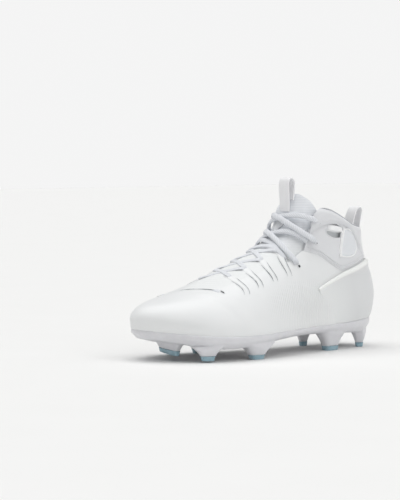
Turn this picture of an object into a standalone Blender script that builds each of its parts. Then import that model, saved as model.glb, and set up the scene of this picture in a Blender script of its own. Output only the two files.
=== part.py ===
"""Mid-cut lacrosse cleat for the left foot, standing empty on its studs.

The toe points along -X, the outer side of the foot along -Y, and the floor is z = 0.
Sizes are in millimetres until a mesh is written, which is in metres.
"""

import math

import bmesh
import bpy
import numpy as np

MM = 0.001

# Last: heel back to toe tip along the feather line, and where it stands in the frame.
LENGTH = 284.0
HEEL_X = 141.5
SHIFT_Y = 0.4
# The wall's sections fan out from a spine that runs inside the shoe.
SPINE_BACK = 38.0
SPINE_FRONT = 240.0

# Thicknesses and fits.
WALL = 2.2
FIT = 0.3
FACET = 0.6
SEAT = 0.65
PLATE = 4.5
RIM = 1.4
RIM_TOP = 0.2
# The plate's underside: inset of its bottom edge, with a share of its depth, and the flat round it.
BOTTOM_INSET = 4.0
BOTTOM_INSET_SHARE = 0.12
BOTTOM_FLAT = 3.0
BOTTOM_ROUND = 0.3
BOTTOM_HOLLOW = 1.0
BOTTOM_HOLLOW_IN = 0.55
BOTTOM_HOLLOW_SHARE = 0.8
MIDDLE = 0.5
# The plate's side wall: three heights as shares of its depth, and how far it stands out at each.
SIDE_LOW = 0.22
SIDE_MIDDLE = 0.5
SIDE_HIGH = 0.86
SIDE_LOW_IN = 0.45
SIDE_MIDDLE_OUT = 0.6
SIDE_STEP = 0.2
INSOLE = 4.0
INSOLE_FIT = 0.6
SIDE_TUCK = 1.2
SIDE_TUCK_HEIGHT = 12.0
SKIRT_TUCK = 4.0
FIT_MIX = (112.0, 124.0)
# How closely the wall beside the ridge keeps to the ridge's own slope.
RIDGE_HOLD = 6

# Mesh fineness.
COLUMNS = 34
SKIRT_ROWS = (-1.0, -0.5, 0.0)
WALL_ROWS = 8


class Table:
    """Rows of named columns, read between rows on a curve that never overshoots."""

    def __init__(self, columns, rows):
        self.columns = columns
        self.rows = np.array(rows, float)

    def at(self, column, where, power=1):
        """The column's value at places along the first column; power 2 suits a round end."""
        x = self.rows[:, 0]
        y = self.rows[:, self.columns.index(column)] ** power
        gaps = np.diff(x)
        rise = np.diff(y) / gaps
        slope = np.concatenate([rise[:1], np.zeros(len(x) - 2), rise[-1:]])
        for i in range(1, len(x) - 1):
            if rise[i - 1] * rise[i] > 0:
                before = 2 * gaps[i] + gaps[i - 1]
                after = gaps[i] + 2 * gaps[i - 1]
                slope[i] = (before + after) / (before / rise[i - 1] + after / rise[i])
        where = np.clip(np.asarray(where, float), x[0], x[-1])
        i = np.clip(np.searchsorted(x, where) - 1, 0, len(x) - 2)
        s = (where - x[i]) / gaps[i]
        value = (
            y[i] * (1 + 2 * s) * (1 - s) ** 2
            + slope[i] * gaps[i] * s * (1 - s) ** 2
            + y[i + 1] * s * s * (3 - 2 * s)
            + slope[i + 1] * gaps[i] * s * s * (s - 1)
        )
        return np.maximum(value, 0) ** (1 / power) if power != 1 else value


# One row for each section of the last, from the heel back. round_outer and round_inner say how
# full the wall is on each side of the foot, heel_pull how far the heel line acts there.
LAST = Table(
    ("station", "half_width", "centre", "feather", "underside", "round_outer", "round_inner", "heel_pull"),
    [
        (0, 0.0, 0.0, 30.0, 16.0, 2.80, 2.80, 1.00),
        (4, 15.3, 0.0, 30.0, 15.5, 2.80, 2.80, 0.98),
        (12, 24.6, 0.0, 29.7, 15.2, 2.80, 2.80, 0.92),
        (25, 30.8, 0.0, 29.0, 15.2, 2.75, 2.75, 0.75),
        (45, 34.2, -0.2, 27.5, 15.8, 2.70, 2.70, 0.50),
        (70, 35.0, -1.5, 26.3, 17.0, 2.60, 2.60, 0.30),
        (95, 34.8, -3.2, 25.5, 17.8, 2.40, 2.40, 0.12),
        (120, 36.2, -4.8, 24.7, 17.6, 2.20, 2.25, 0.00),
        (145, 40.8, -5.2, 24.0, 16.5, 2.05, 2.20, 0.00),
        (170, 46.2, -4.4, 23.5, 14.0, 1.95, 2.20, 0.00),
        (195, 50.0, -2.2, 23.4, 12.0, 1.90, 2.25, 0.00),
        (215, 50.6, 0.6, 23.6, 11.5, 1.92, 2.20, 0.00),
        (233, 47.6, 4.0, 24.4, 13.0, 2.05, 2.20, 0.00),
        (249, 41.4, 7.0, 25.8, 16.0, 2.15, 2.20, 0.00),
        (262, 33.6, 9.5, 27.2, 18.8, 2.20, 2.20, 0.00),
        (273, 24.6, 11.3, 28.5, 21.0, 2.20, 2.20, 0.00),
        (280, 15.4, 12.3, 29.4, 22.5, 2.20, 2.20, 0.00),
        (284, 0.0, 12.8, 30.0, 23.5, 2.20, 2.20, 0.00),
    ],
)
# Top line of the foot along the spine; behind the ankle it only steers the wall.
RIDGE = Table(
    ("station", "height", "shift"),
    [
        (38, 205.0, 0.0),
        (70, 192.0, 0.0),
        (88, 168.0, 0.5),
        (98, 151.5, 1.0),
        (106, 138.0, 1.3),
        (115, 124.0, 1.8),
        (125, 112.5, 2.3),
        (137, 103.0, 3.0),
        (150, 96.0, 3.5),
        (180, 82.5, 5.0),
        (210, 70.0, 6.5),
        (240, 61.0, 9.5),
        (252, 57.6, 10.6),
    ],
)
# How far the back of the heel lies inside the last's outline at each height.
HEEL_LINE = Table(
    ("height", "pull"),
    [
        (16, 6.0),
        (25, 4.0),
        (38, 1.5),
        (52, 0.0),
        (70, 2.5),
        (88, 8.8),
        (105, 15.0),
        (121, 15.8),
        (141, 13.5),
        (210, 8.0),
    ],
)
# Top edge of the inner boot round the ankle, then the throat's half gap as a share of the
# way from ridge to feather line.
BOOT_EDGE = Table(
    ("station", "height"),
    [
        (0, 118.5),
        (25, 120.5),
        (38, 124.0),
        (50, 129.0),
        (62, 133.5),
        (70, 134.0),
        (78, 129.5),
        (86, 119.0),
        (94, 108.5),
        (102, 102.0),
        (112, 97.5),
        (124, 94.0),
    ],
)
THROAT_FRONT = 262.0
THROAT = Table(
    ("station", "outer", "inner"),
    [
        (112, 0.76, 0.76),
        (124, 0.70, 0.68),
        (150, 0.58, 0.50),
        (175, 0.50, 0.39),
        (197, 0.46, 0.33),
        (212, 0.46, 0.29),
        (222, 0.45, 0.26),
        (232, 0.39, 0.22),
        (242, 0.30, 0.17),
        (253, 0.18, 0.10),
        (THROAT_FRONT, 0.0, 0.0),
    ],
)
# Ankle cuff: its lower seam and the collar line.
CUFF_FRONT = Table(
    ("share", "station"),
    [(0.0, 106.0), (0.15, 103.0), (0.45, 95.0), (0.7, 90.0), (0.88, 85.0), (1.0, 77.0)],
)
CUFF = Table(
    ("station", "low", "high"),
    [
        (0, 88.8, 120.5),
        (15, 87.8, 121.0),
        (30, 84.8, 123.5),
        (45, 81.3, 129.5),
        (60, 78.4, 136.0),
        (66, 80.5, 138.5),
        (78, 87.5, 140.5),
        (90, 94.5, 140.5),
        (106, 99.0, 140.5),
    ],
)
# Cuff section: padding at each share of its height, and how much it thins at its front edges.
CUFF_THICK = 2.7
CUFF_SECTION = Table(
    ("share", "padding"),
    [(0.0, 0.37), (0.06, 0.67), (0.3, 0.82), (0.55, 0.89), (0.78, 1.0), (0.93, 0.96), (1.0, 0.6)],
)
CUFF_EDGE_THIN = 0.35
CUFF_COLUMNS = 27
# Heel counter: its raised top lip. Its front edge leans from the sole to the lip's end.
COUNTER = Table(
    ("station", "high"),
    [(0, 88.0), (15, 87.0), (30, 84.0), (45, 80.5), (60, 77.0), (78, 71.0), (97, 63.0)],
)
COUNTER_FRONT_LOW = 74.0
COUNTER_FRONT_HIGH = 97.0
COUNTER_SECTION = Table(
    ("share", "thick"),
    [(0.0, 0.9), (0.2, 1.3), (0.45, 1.5), (0.7, 1.5), (0.88, 1.7), (0.95, 2.5), (1.0, 1.9)],
)
COUNTER_EDGE_THIN = 0.6
COUNTER_COLUMNS = 25
# Ankle window and the tab behind it: middle, half sizes and lean.
WINDOW = {"station": 67.5, "height": 115.5, "half_long": 11.0, "top": 8.2, "bottom": 4.2, "lean": 8.0}
TAB = {"station": 46.5, "height": 105.5, "half_long": 10.6, "top": 15.5, "bottom": 15.5, "lean": -12.0}
TAB_GROOVE = 0.4
TAB_THICK = 2.7
TAB_MARGIN = 6.0
TAB_GRID = 7
HALF_WIDTH = 70.0
CUTTER_SIDES = 22

# Studs: place on the sole, height of the tip off the floor, size of the tip's foot, its turn about Z,
# how strongly it widens upward, and how much its foot rises for each millimetre to the inner side.
STUDS = [
    ("toe", 247.5, 5.0, 6.1, 28.5, 7.0, 86.0, 0.8, 0.09),
    ("fore_outer", 233.0, -34.0, 1.6, 12.0, 8.0, -25.0, 1.0, 0.0),
    ("fore_inner", 217.0, 38.0, 1.6, 12.0, 8.0, 5.0, 1.0, 0.0),
    ("ball_outer", 179.0, -41.0, 0.0, 13.8, 9.2, -4.0, 1.0, 0.0),
    ("ball_inner", 185.0, 36.0, 0.0, 13.8, 9.2, -13.0, 1.0, 0.0),
    ("heel_front_outer", 68.0, -23.5, 0.0, 16.5, 10.2, 2.0, 0.5, 0.0),
    ("heel_front_inner", 61.5, 23.0, 0.0, 7.5, 5.5, -2.0, 0.45, 0.0),
    ("heel_rear_outer", 23.0, -18.0, 0.0, 7.0, 6.0, -30.0, 0.4, 0.0),
    ("heel_rear_inner", 23.5, 18.0, 0.0, 7.0, 6.0, 30.0, 0.4, 0.0),
]
STUD_TIP = 4.2
STUD_SINK = 2.2
# Growth of a stud's half length with height and with its square, the share of it that goes to the
# half width, and how far a stud stays inside the plate's outline, with more round the heel.
STUD_DRAFT = 0.08
STUD_FLARE = 0.05
STUD_WIDE_SHARE = 0.5
STUD_MARGIN = 2.6
STUD_HEEL_MARGIN = 4.5
STUD_STEM_RINGS = 6
STUD_EDGE = 0.6
STUD_SIDES = 12
STUD_SQUARE = 3.0

# Lacing: stations of each eyelet on the outer and the inner side, from the toe end up; the two on
# the cuff also have a height. Then the stations where the laces cross the ridge.
LACE_WIDE = 6.0
LACE_THICK = 2.6
LACE_STEPS = 7
EYELET_FROM_EDGE = 6.0
EYELETS = [
    (222.0, 254.0, None),
    (199.0, 220.0, None),
    (178.0, 195.0, None),
    (157.0, 171.0, None),
    (136.0, 147.0, None),
    (118.0, 124.0, None),
    (92.0, 92.0, 106.0),
    (84.0, 84.0, 125.0),
]
# Where the upper two crossings pass over the ridge: place on the ridge and height over the form.
CROSSINGS = {5: (120.0, 0.0), 6: (97.0, 1.8)}

# Tongue.
TONGUE_TOP = 86.4
TONGUE_TOP_DROP = 16.0
TONGUE_TOP_ROUND = 2.0
TONGUE_FRONT = 268.0
TONGUE_SIDE_STATION = 100.0
TONGUE_OVERLAP = 0.08
TONGUE_THICK_TOP = 4.4
TONGUE_THICK_FRONT = 2.4
TONGUE_SHOWN_LIFT = -0.9
TONGUE_RISE = 0.45
TONGUE_SIDE_THIN = 0.5
TONGUE_TOP_THIN = 0.6
TONGUE_ROW_SPREAD = 1.2
TONGUE_COLUMNS = 13
TONGUE_ROWS = 15

# Badge on the tongue: station of its middle, half length in stations, half width as a share of the
# wall, height over the form and thickness.
BADGE_STATION = 107.0
BADGE_HALF_LONG = 8.0
BADGE_HALF_WIDE = 0.085
BADGE_LIFT = -0.35
BADGE_THICK = 0.8
BADGE_POINT = 0.7

# Pull loops: side outline of each strip, as station and height.
STRIP = 1.3
TONGUE_LOOP_WIDE = 14.0
TONGUE_LOOP = [
    (106.4, 137.4),
    (104.9, 140.0),
    (103.7, 142.6),
    (104.8, 145.6),
    (106.8, 149.0),
    (107.9, 152.6),
    (108.4, 158.0),
    (108.3, 164.0),
    (107.2, 168.0),
    (104.4, 169.6),
    (101.4, 168.0),
    (100.2, 163.5),
    (100.8, 157.5),
    (102.2, 152.0),
    (103.8, 148.6),
]
HEEL_LOOP_WIDE = 13.0
HEEL_LOOP = [
    (12.4, 113.0),
    (12.5, 121.0),
    (9.8, 130.0),
    (8.3, 136.0),
    (10.0, 139.2),
    (13.2, 139.0),
    (16.6, 135.0),
    (19.8, 127.0),
    (21.8, 119.5),
    (22.6, 112.0),
]


def around(station):
    """Place round the last, 0 at the heel back to 1 at the toe, of a station on the outer side."""
    return np.arccos(1 - 2 * np.asarray(station, float) / LENGTH) / math.pi


def station_of(t):
    """Station of a place round the last; the inner side runs from 1 back to 2, or below 0."""
    tau = np.abs((np.asarray(t, float) + 1) % 2 - 1)
    return LENGTH * (1 - np.cos(math.pi * tau)) / 2


def frame_of(t):
    """Edge point, spine point, feather and ridge heights and wall fullness at a place t."""
    t = np.asarray(t, float)
    station = station_of(t)
    outer = np.where(t % 2 < 1, -1.0, 1.0)
    half = LAST.at("half_width", station, power=2)
    edge = np.stack([HEEL_X - station, SHIFT_Y + LAST.at("centre", station) + outer * half], -1)
    along = SPINE_BACK + (SPINE_FRONT - SPINE_BACK) * station / LENGTH
    spine = np.stack([HEEL_X - along, SHIFT_Y + RIDGE.at("shift", along)], -1)
    full = np.where(outer < 0, LAST.at("round_outer", station), LAST.at("round_inner", station))
    return station, edge, spine, LAST.at("feather", station), RIDGE.at("height", along), full


def form(t, a):
    """Outer face of the upper: a is -1 at its bottom edge, 0 at the feather line, 1 at the ridge."""
    t, a = np.broadcast_arrays(np.asarray(t, float), np.asarray(a, float))
    station, edge, spine, feather, ridge, full = frame_of(t)
    angle = np.clip(a, 0, 1) * math.pi / 2
    inward = 1 - np.cos(angle) ** (2 / full)
    rise = np.sin(angle) ** (2 / full)
    floor = LAST.at("underside", station) + PLATE + FIT
    below = np.clip(-a, 0, 1)
    z = feather + rise * (ridge - feather) - below * (feather - floor)
    along = HEEL_X - spine[..., 0]
    slope = (RIDGE.at("height", along + 1) - RIDGE.at("height", along - 1)) / 2
    z = z + slope * (spine - edge)[..., 0] * (1 - inward) * rise**RIDGE_HOLD
    tuck = SIDE_TUCK * np.clip(1 - (z - feather) / SIDE_TUCK_HEIGHT, 0, 1) ** 2
    pull = LAST.at("heel_pull", station) * HEEL_LINE.at("pull", z) + tuck + SKIRT_TUCK * below**2
    run = np.linalg.norm(spine - edge, axis=-1)
    share = inward + (1 - inward) * pull / run
    return np.concatenate([edge + (spine - edge) * share[..., None], z[..., None]], -1)


def normal(t, a):
    """Outward direction of the form; both sides share one at the ridge."""
    t, a = np.broadcast_arrays(np.asarray(t, float), np.asarray(a, float))
    dt, da, most = 2e-3, 4e-3, 0.965

    def one_side(t):
        b = np.clip(a, -0.99, most)
        up = form(t, b + da) - form(t, b - da)
        on = form(t + dt, b) - form(t - dt, b)
        out = np.cross(up, on)
        return out / np.linalg.norm(out, axis=-1, keepdims=True)

    both = one_side(t)
    mix = np.clip((a - most) / (1 - most), 0, 1)[..., None] / 2
    both = both * (1 - mix) + one_side(-t) * mix
    return both / np.linalg.norm(both, axis=-1, keepdims=True)


def lifted(t, a, lift):
    return form(t, a) + normal(t, a) * np.asarray(lift, float)[..., None]


def at_height(t, height):
    """How far up the wall a height is reached."""
    t, height = np.broadcast_arrays(np.asarray(t, float), np.asarray(height, float))
    steps = np.linspace(0, 1, 121)
    heights = form(t[..., None], steps)[..., 2].reshape(-1, len(steps))
    found = [np.interp(h, row, steps) for h, row in zip(height.reshape(-1), heights)]
    return np.reshape(found, t.shape)


def at_gap(t, gap):
    """How far up the wall a share of the way down from the ridge is reached."""
    full = frame_of(t)[5]
    return np.arccos(np.clip(gap, 0, 1) ** (full / 2)) * 2 / math.pi


def boot_edge(t):
    """Top edge of the upper: collar and ankle by height, throat by gap, shut over the vamp."""
    station = station_of(t)
    share = np.clip((station - FIT_MIX[0]) / (FIT_MIX[1] - FIT_MIX[0]), 0, 1)
    by_height = at_height(t, BOOT_EDGE.at("height", station))
    outer = np.asarray(t) % 2 < 1
    gap = np.where(outer, THROAT.at("outer", station, power=2), THROAT.at("inner", station, power=2))
    by_gap = at_gap(t, gap)
    edge = by_height * (1 - share) + by_gap * share
    return np.where(station > THROAT_FRONT - 0.01, 1.0, edge)


def down_from(t, a, distance):
    """The place on the wall a distance below a, measured along the section."""
    steps = np.linspace(a, max(a - 0.5, 0), 200)
    points = form(np.full(len(steps), t), steps)
    walked = np.concatenate([[0], np.cumsum(np.linalg.norm(np.diff(points, axis=0), axis=1))])
    return float(np.interp(distance, walked, steps))


def smoothstep(value):
    value = np.clip(value, 0, 1)
    return value * value * (3 - 2 * value)


def material(name, colour, roughness):
    made = bpy.data.materials.new(name)
    made.use_nodes = True
    shader = made.node_tree.nodes["Principled BSDF"]
    shader.inputs["Base Color"].default_value = (*colour, 1.0)
    shader.inputs["Roughness"].default_value = roughness
    return made


def mesh_object(name, points, faces, surface, smooth=True):
    """A closed mesh from points in millimetres, its faces turned outward."""
    mesh = bpy.data.meshes.new(name)
    work = bmesh.new()
    made = [work.verts.new([float(c) * MM for c in point]) for point in points]
    for face in faces:
        work.faces.new([made[i] for i in face])
    bmesh.ops.remove_doubles(work, verts=work.verts, dist=1e-6)
    bmesh.ops.dissolve_degenerate(work, edges=work.edges, dist=1e-6)
    bmesh.ops.recalc_face_normals(work, faces=work.faces)
    work.to_mesh(mesh)
    work.free()
    if surface is not None:
        mesh.materials.append(surface)
    mesh.polygons.foreach_set("use_smooth", [smooth] * len(mesh.polygons))
    thing = bpy.data.objects.new(name, mesh)
    bpy.context.scene.collection.objects.link(thing)
    return thing


def grid_solid(name, outer, inner, surface, ring=False, shut=None):
    """A sheet with two faces, each a grid of columns by rows, joined round its edges.

    ring joins the last column to the first; shut marks the columns whose top edge is joined to
    the other side's instead of to the inner face.
    """
    columns, rows = outer.shape[:2]
    shut = np.zeros(columns, bool) if shut is None else shut
    points = np.concatenate([outer.reshape(-1, 3), inner.reshape(-1, 3)])
    half = columns * rows
    faces = []
    for i in range(columns if ring else columns - 1):
        k = (i + 1) % columns
        for j in range(rows - 1):
            quad = [i * rows + j, k * rows + j, k * rows + j + 1, i * rows + j + 1]
            faces.append(quad)
            faces.append([half + n for n in reversed(quad)])
        low, low_on = i * rows, k * rows
        faces.append([low_on, low, half + low, half + low_on])
        top, top_on = low + rows - 1, low_on + rows - 1
        if not (shut[i] and shut[k]):
            faces.append([top, top_on, half + top_on, half + top])
    if not ring:
        for i in (0, columns - 1):
            for j in range(rows - 1):
                n = i * rows + j
                faces.append([n, n + 1, half + n + 1, half + n])
    return mesh_object(name, points, faces, surface)


def overlay(name, t, a, thick, surface):
    """A layer on the outside of the upper, cut between two lifts of its form."""
    seat = np.full(t.shape, SEAT)
    return grid_solid(name, lifted(t, a, seat + thick), lifted(t, a, seat), surface)


def cutter_of(name, shape, grow, low, high, sides=CUTTER_SIDES):
    """An oval prism across the shoe, for a Boolean."""
    lean = math.radians(shape["lean"])
    points = []
    for y in (low, high):
        for k in range(sides):
            turn = 2 * math.pi * k / sides
            u = (shape["half_long"] + grow) * math.cos(turn)
            tall = shape["top"] if math.sin(turn) > 0 else shape["bottom"]
            z = (tall + grow) * math.sin(turn)
            along = u * math.cos(lean) - z * math.sin(lean)
            up = u * math.sin(lean) + z * math.cos(lean)
            points.append((HEEL_X - shape["station"] - along, y, shape["height"] + up))
    faces = [[k, (k + 1) % sides, sides + (k + 1) % sides, sides + k] for k in range(sides)]
    faces.append(list(range(sides)))
    faces.append(list(range(sides, 2 * sides)))
    cutter = mesh_object(name, points, faces, None)
    cutter.hide_render = True
    cutter.display_type = "WIRE"
    return cutter


def boolean(thing, operation, other):
    step = thing.modifiers.new(other.name, "BOOLEAN")
    step.operation = operation
    step.solver = "EXACT"
    step.object = other


def strip_solid(name, outline, wide, surface):
    """A webbing strip whose side outline is given, with its width along Y."""
    path = np.array([(HEEL_X - u, z) for u, z in outline])
    on = np.gradient(path, axis=0)
    on /= np.linalg.norm(on, axis=1, keepdims=True)
    side = np.stack([-on[:, 1], on[:, 0]], -1) * STRIP / 2
    corners = []
    for face, edge in ((1, -1), (1, 1), (-1, 1), (-1, -1)):
        line = path + side * face
        y = np.full(len(line), SHIFT_Y + edge * wide / 2)
        corners.append(np.stack([line[:, 0], y, line[:, 1]], -1))
    count = len(path)
    points = np.concatenate(corners)
    faces = [[c * count + i for c in range(4)] for i in (0, count - 1)]
    for c in range(4):
        d = (c + 1) % 4
        for i in range(count - 1):
            faces.append([c * count + i, c * count + i + 1, d * count + i + 1, d * count + i])
    return mesh_object(name, points, faces, surface, smooth=False)


def lathe_stack(name, rings, surface):
    """A solid through closed rings of the same count, with flat ends."""
    sides = len(rings[0])
    points = np.concatenate(rings)
    faces = [list(range(sides)), list(range((len(rings) - 1) * sides, len(rings) * sides))]
    for r in range(len(rings) - 1):
        for k in range(sides):
            n = (k + 1) % sides
            faces.append([r * sides + k, r * sides + n, (r + 1) * sides + n, (r + 1) * sides + k])
    return mesh_object(name, points, faces, surface)


def stud_head(stud):
    """Height at which a stud's stem ends inside the plate."""
    return float(LAST.at("underside", stud[1])) + STUD_SINK


def stud_ring(stud, z, trim=0.0):
    """One outline of a stud, a rounded oblong turned about Z that widens with its height."""
    _, station, across, tip, long, wide, turn, flare, tilt = stud
    high = z - tip
    grow = flare * (STUD_DRAFT * high + STUD_FLARE * high**2) - trim
    angle = 2 * math.pi * (np.arange(STUD_SIDES) + 0.5) / STUD_SIDES
    c, s = np.cos(angle), np.sin(angle)
    x = np.sign(c) * np.abs(c) ** (2 / STUD_SQUARE) * (long / 2 + grow)
    y = np.sign(s) * np.abs(s) ** (2 / STUD_SQUARE) * (wide / 2 + STUD_WIDE_SHARE * grow)
    lean = math.radians(turn)
    inner = x * math.sin(lean) + y * math.cos(lean)
    own = station - x * math.cos(lean) + y * math.sin(lean)
    centre = LAST.at("centre", own)
    room = LAST.at("half_width", own, 2) - STUD_MARGIN - STUD_HEEL_MARGIN * LAST.at("heel_pull", own)
    off = np.clip(across + inner - centre, -room, room)
    rise = tilt * inner * (1 - high / (stud_head(stud) - tip))
    return np.stack([HEEL_X - own, SHIFT_Y + centre + off, z + rise], axis=1)


def eyelet_places(side):
    """Each eyelet of one side, 0 outer and 1 inner, as its place round the last and up the wall."""
    places = []
    for row in EYELETS:
        t = float(around(row[side])) * (1 if side == 0 else -1)
        if row[2] is None:
            places.append((t, down_from(t, float(boot_edge(t)), EYELET_FROM_EDGE)))
        else:
            places.append((t, float(at_height(t, row[2]))))
    return places


def over(station, b):
    """Place round and up for a signed share b across the ridge, outer side below 0."""
    t = np.where(np.asarray(b) < 0, around(station), -around(station))
    return t, 1 - np.abs(b)


def ridge_station(start, end):
    """Station whose ridge point lies on the straight line between two places, seen from above."""
    stations = np.linspace(station_of(start[0]) - 10, station_of(end[0]) + 30, 200)
    ridge = form(around(np.clip(stations, 0, LENGTH)), np.ones(len(stations)))[:, :2]
    first, last = form(*start)[:2], form(*end)[:2]
    line = last - first
    off = np.abs((ridge - first) @ np.array([-line[1], line[0]]))
    return float(stations[np.argmin(off)])


def lace_path(start, crossing, end):
    """A taut lace from an outer to an inner place, in the plane through both and the ridge."""
    b_start, b_end = -(1 - start[1]), 1 - end[1]
    ends = [form(*start), form(around(crossing), 1.0), form(*end)]
    plane = np.cross(ends[1] - ends[0], ends[2] - ends[0])
    first, last = station_of(start[0]), station_of(end[0])
    stations, shares = [], np.linspace(b_start, b_end, LACE_STEPS)
    for b in shares:
        near = np.interp(b, [b_start, 0, b_end], [first, crossing, last])
        tries = np.clip(np.linspace(near - 30, near + 45, 301), 0, LENGTH)
        t, a = over(tries, np.full(len(tries), b))
        off = (form(t, a) - ends[0]) @ plane
        turns = np.nonzero(off[:-1] * off[1:] <= 0)[0]
        pick = turns[np.argmin(np.abs(tries[turns] - near))] if len(turns) else len(tries) // 2
        span = off[pick + 1] - off[pick]
        stations.append(tries[pick] - off[pick] / span * (tries[1] - tries[0]) if span else tries[pick])
    return np.array(stations), shares


def lace_solid(name, start, crossing, end, lifts, surface):
    """One flat lace laid over the form; lifts are its heights at start, ridge and end."""
    stations, shares = lace_path(start, crossing, end)
    t, a = over(stations, shares)
    lift = np.interp(shares, [shares[0], 0, shares[-1]], lifts)
    middle = lifted(t, a, lift)
    up = normal(t, a)
    on = np.gradient(middle, axis=0)
    on /= np.linalg.norm(on, axis=1, keepdims=True)
    across = np.cross(on, up)
    across /= np.linalg.norm(across, axis=1, keepdims=True)
    up = np.cross(across, on)
    corners = [(-1, -1), (1, -1), (1, 1), (-1, 1)]
    rings = []
    for i in range(len(middle)):
        ring = [middle[i] + across[i] * c * LACE_WIDE / 2 + up[i] * d * LACE_THICK / 2 for c, d in corners]
        rings.append(np.array(ring))
    return lathe_stack(name, rings, surface)


for old in list(bpy.data.objects):
    bpy.data.objects.remove(old)

SHELL = material("coated_knit_shell", (0.86, 0.87, 0.89), 0.45)
CUFF_CLOTH = material("padded_cuff_fabric", (0.84, 0.85, 0.88), 0.75)
COUNTER_SHEET = material("moulded_counter", (0.87, 0.88, 0.90), 0.4)
PLATE_STUFF = material("moulded_plate", (0.82, 0.83, 0.87), 0.35)
TIP_STUFF = material("tinted_tip", (0.42, 0.60, 0.68), 0.3)
FOAM = material("insole_foam", (0.80, 0.81, 0.83), 0.85)
KNIT = material("tongue_knit", (0.80, 0.83, 0.88), 0.85)
WEBBING = material("pull_webbing", (0.84, 0.85, 0.87), 0.7)
LABEL = material("plain_label", (0.78, 0.79, 0.81), 0.5)
CORD = material("lace_weave", (0.84, 0.85, 0.88), 0.8)

# Stations of the ring: cosine spaced, so that heel and toe are round, with one at the throat's front.
taus = np.linspace(0, 1, COLUMNS + 1)
taus[np.argmin(np.abs(taus - around(THROAT_FRONT)))] = around(THROAT_FRONT)
ring_t = np.concatenate([taus, 2 - taus[-2:0:-1]])

# Upper: outer face and inner face a wall's thickness apart, shut over the vamp, open elsewhere.
top = boot_edge(ring_t)
up_share = np.linspace(0, 1, WALL_ROWS + 1)[1:]
rows = np.concatenate([np.tile(SKIRT_ROWS, (len(ring_t), 1)), top[:, None] * up_share], axis=1)
places = np.broadcast_to(ring_t[:, None], rows.shape)
upper = grid_solid(
    "upper",
    form(places, rows),
    lifted(places, rows, np.full(rows.shape, -WALL)),
    SHELL,
    ring=True,
    shut=top >= 1,
)
window = cutter_of("window_cutter", WINDOW, 0.0, -HALF_WIDTH, HALF_WIDTH)
boolean(upper, "DIFFERENCE", window)

# Outsole plate: rim, side wall, bottom edge and underside, then back up inside the rim.
station, _, spine, feather, _, _ = frame_of(ring_t)
underside = LAST.at("underside", station)
deep = feather - underside
rim = form(ring_t, np.zeros(len(ring_t)))[:, :2]
toward = spine - rim
run = np.linalg.norm(toward, axis=1)
toward = toward / run[:, None]


def sole_loop(inset, over_underside=None, height=None):
    """A loop round the sole, moved from the rim toward the spine, level with the underside there."""
    inset = np.minimum(np.broadcast_to(inset, run.shape), run)
    flat = rim + toward * inset[:, None]
    if height is None:
        height = LAST.at("underside", HEEL_X - flat[:, 0]) + over_underside
    return np.concatenate([flat, np.broadcast_to(height, run.shape)[:, None]], 1)


def skirt_loop(a):
    """The upper's outer face below the feather line, with the fit left free."""
    face = form(ring_t, np.full(len(ring_t), a))
    face[:, :2] -= toward * FIT
    return face


bottom_edge = BOTTOM_INSET + BOTTOM_INSET_SHARE * deep
loops = [
    sole_loop(run, BOTTOM_HOLLOW),
    sole_loop(run * BOTTOM_HOLLOW_IN, BOTTOM_HOLLOW_SHARE * BOTTOM_HOLLOW),
    sole_loop(bottom_edge + BOTTOM_FLAT, 0.0),
    sole_loop(bottom_edge, BOTTOM_ROUND),
    sole_loop(bottom_edge * SIDE_LOW_IN, height=underside + SIDE_LOW * deep),
    sole_loop(SIDE_STEP - RIM * SIDE_MIDDLE_OUT, height=underside + SIDE_MIDDLE * deep),
    sole_loop(-RIM - FIT - SIDE_STEP, height=underside + SIDE_HIGH * deep),
    sole_loop(-RIM - FIT, height=feather + RIM_TOP),
    sole_loop(-FIT, height=feather + RIM_TOP),
    skirt_loop(-0.5),
    skirt_loop(-1.0) - np.array([0, 0, FIT]),
    sole_loop(run * MIDDLE, PLATE),
    sole_loop(run, PLATE),
]
count = len(ring_t)
points = np.concatenate(loops)
faces = []
for r in range(len(loops) - 1):
    for i in range(count):
        k = (i + 1) % count
        faces.append([r * count + i, r * count + k, (r + 1) * count + k, (r + 1) * count + i])
plate = mesh_object("outsole_plate", points, faces, PLATE_STUFF)

# Studs: a flared stem joined to the plate, and a tip of its own under it.
for stud in STUDS:
    name, tip = stud[0], stud[3]
    heights = np.linspace(tip + STUD_TIP + FIT, stud_head(stud), STUD_STEM_RINGS)
    stem = lathe_stack("stem_" + name, [stud_ring(stud, z) for z in heights], PLATE_STUFF)
    stem.hide_render = True
    stem.display_type = "WIRE"
    boolean(plate, "UNION", stem)
    lathe_stack(
        "stud_tip_" + name,
        [
            stud_ring(stud, tip, STUD_EDGE),
            stud_ring(stud, tip + STUD_EDGE),
            stud_ring(stud, tip + STUD_TIP),
        ],
        TIP_STUFF,
    )

# Insole: lies on the plate inside the upper's bottom edge.
inside = SIDE_TUCK + SKIRT_TUCK + WALL + FACET
under = PLATE + INSOLE_FIT
loops = [
    sole_loop(run, under),
    sole_loop(run * MIDDLE, under),
    sole_loop(inside, height=underside + under),
    sole_loop(inside, height=underside + under + INSOLE),
    sole_loop(run, under + INSOLE),
]
points = np.concatenate(loops)
faces = []
for r in range(len(loops) - 1):
    for i in range(count):
        k = (i + 1) % count
        faces.append([r * count + i, r * count + k, (r + 1) * count + k, (r + 1) * count + i])
mesh_object("insole", points, faces, FOAM)

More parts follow.
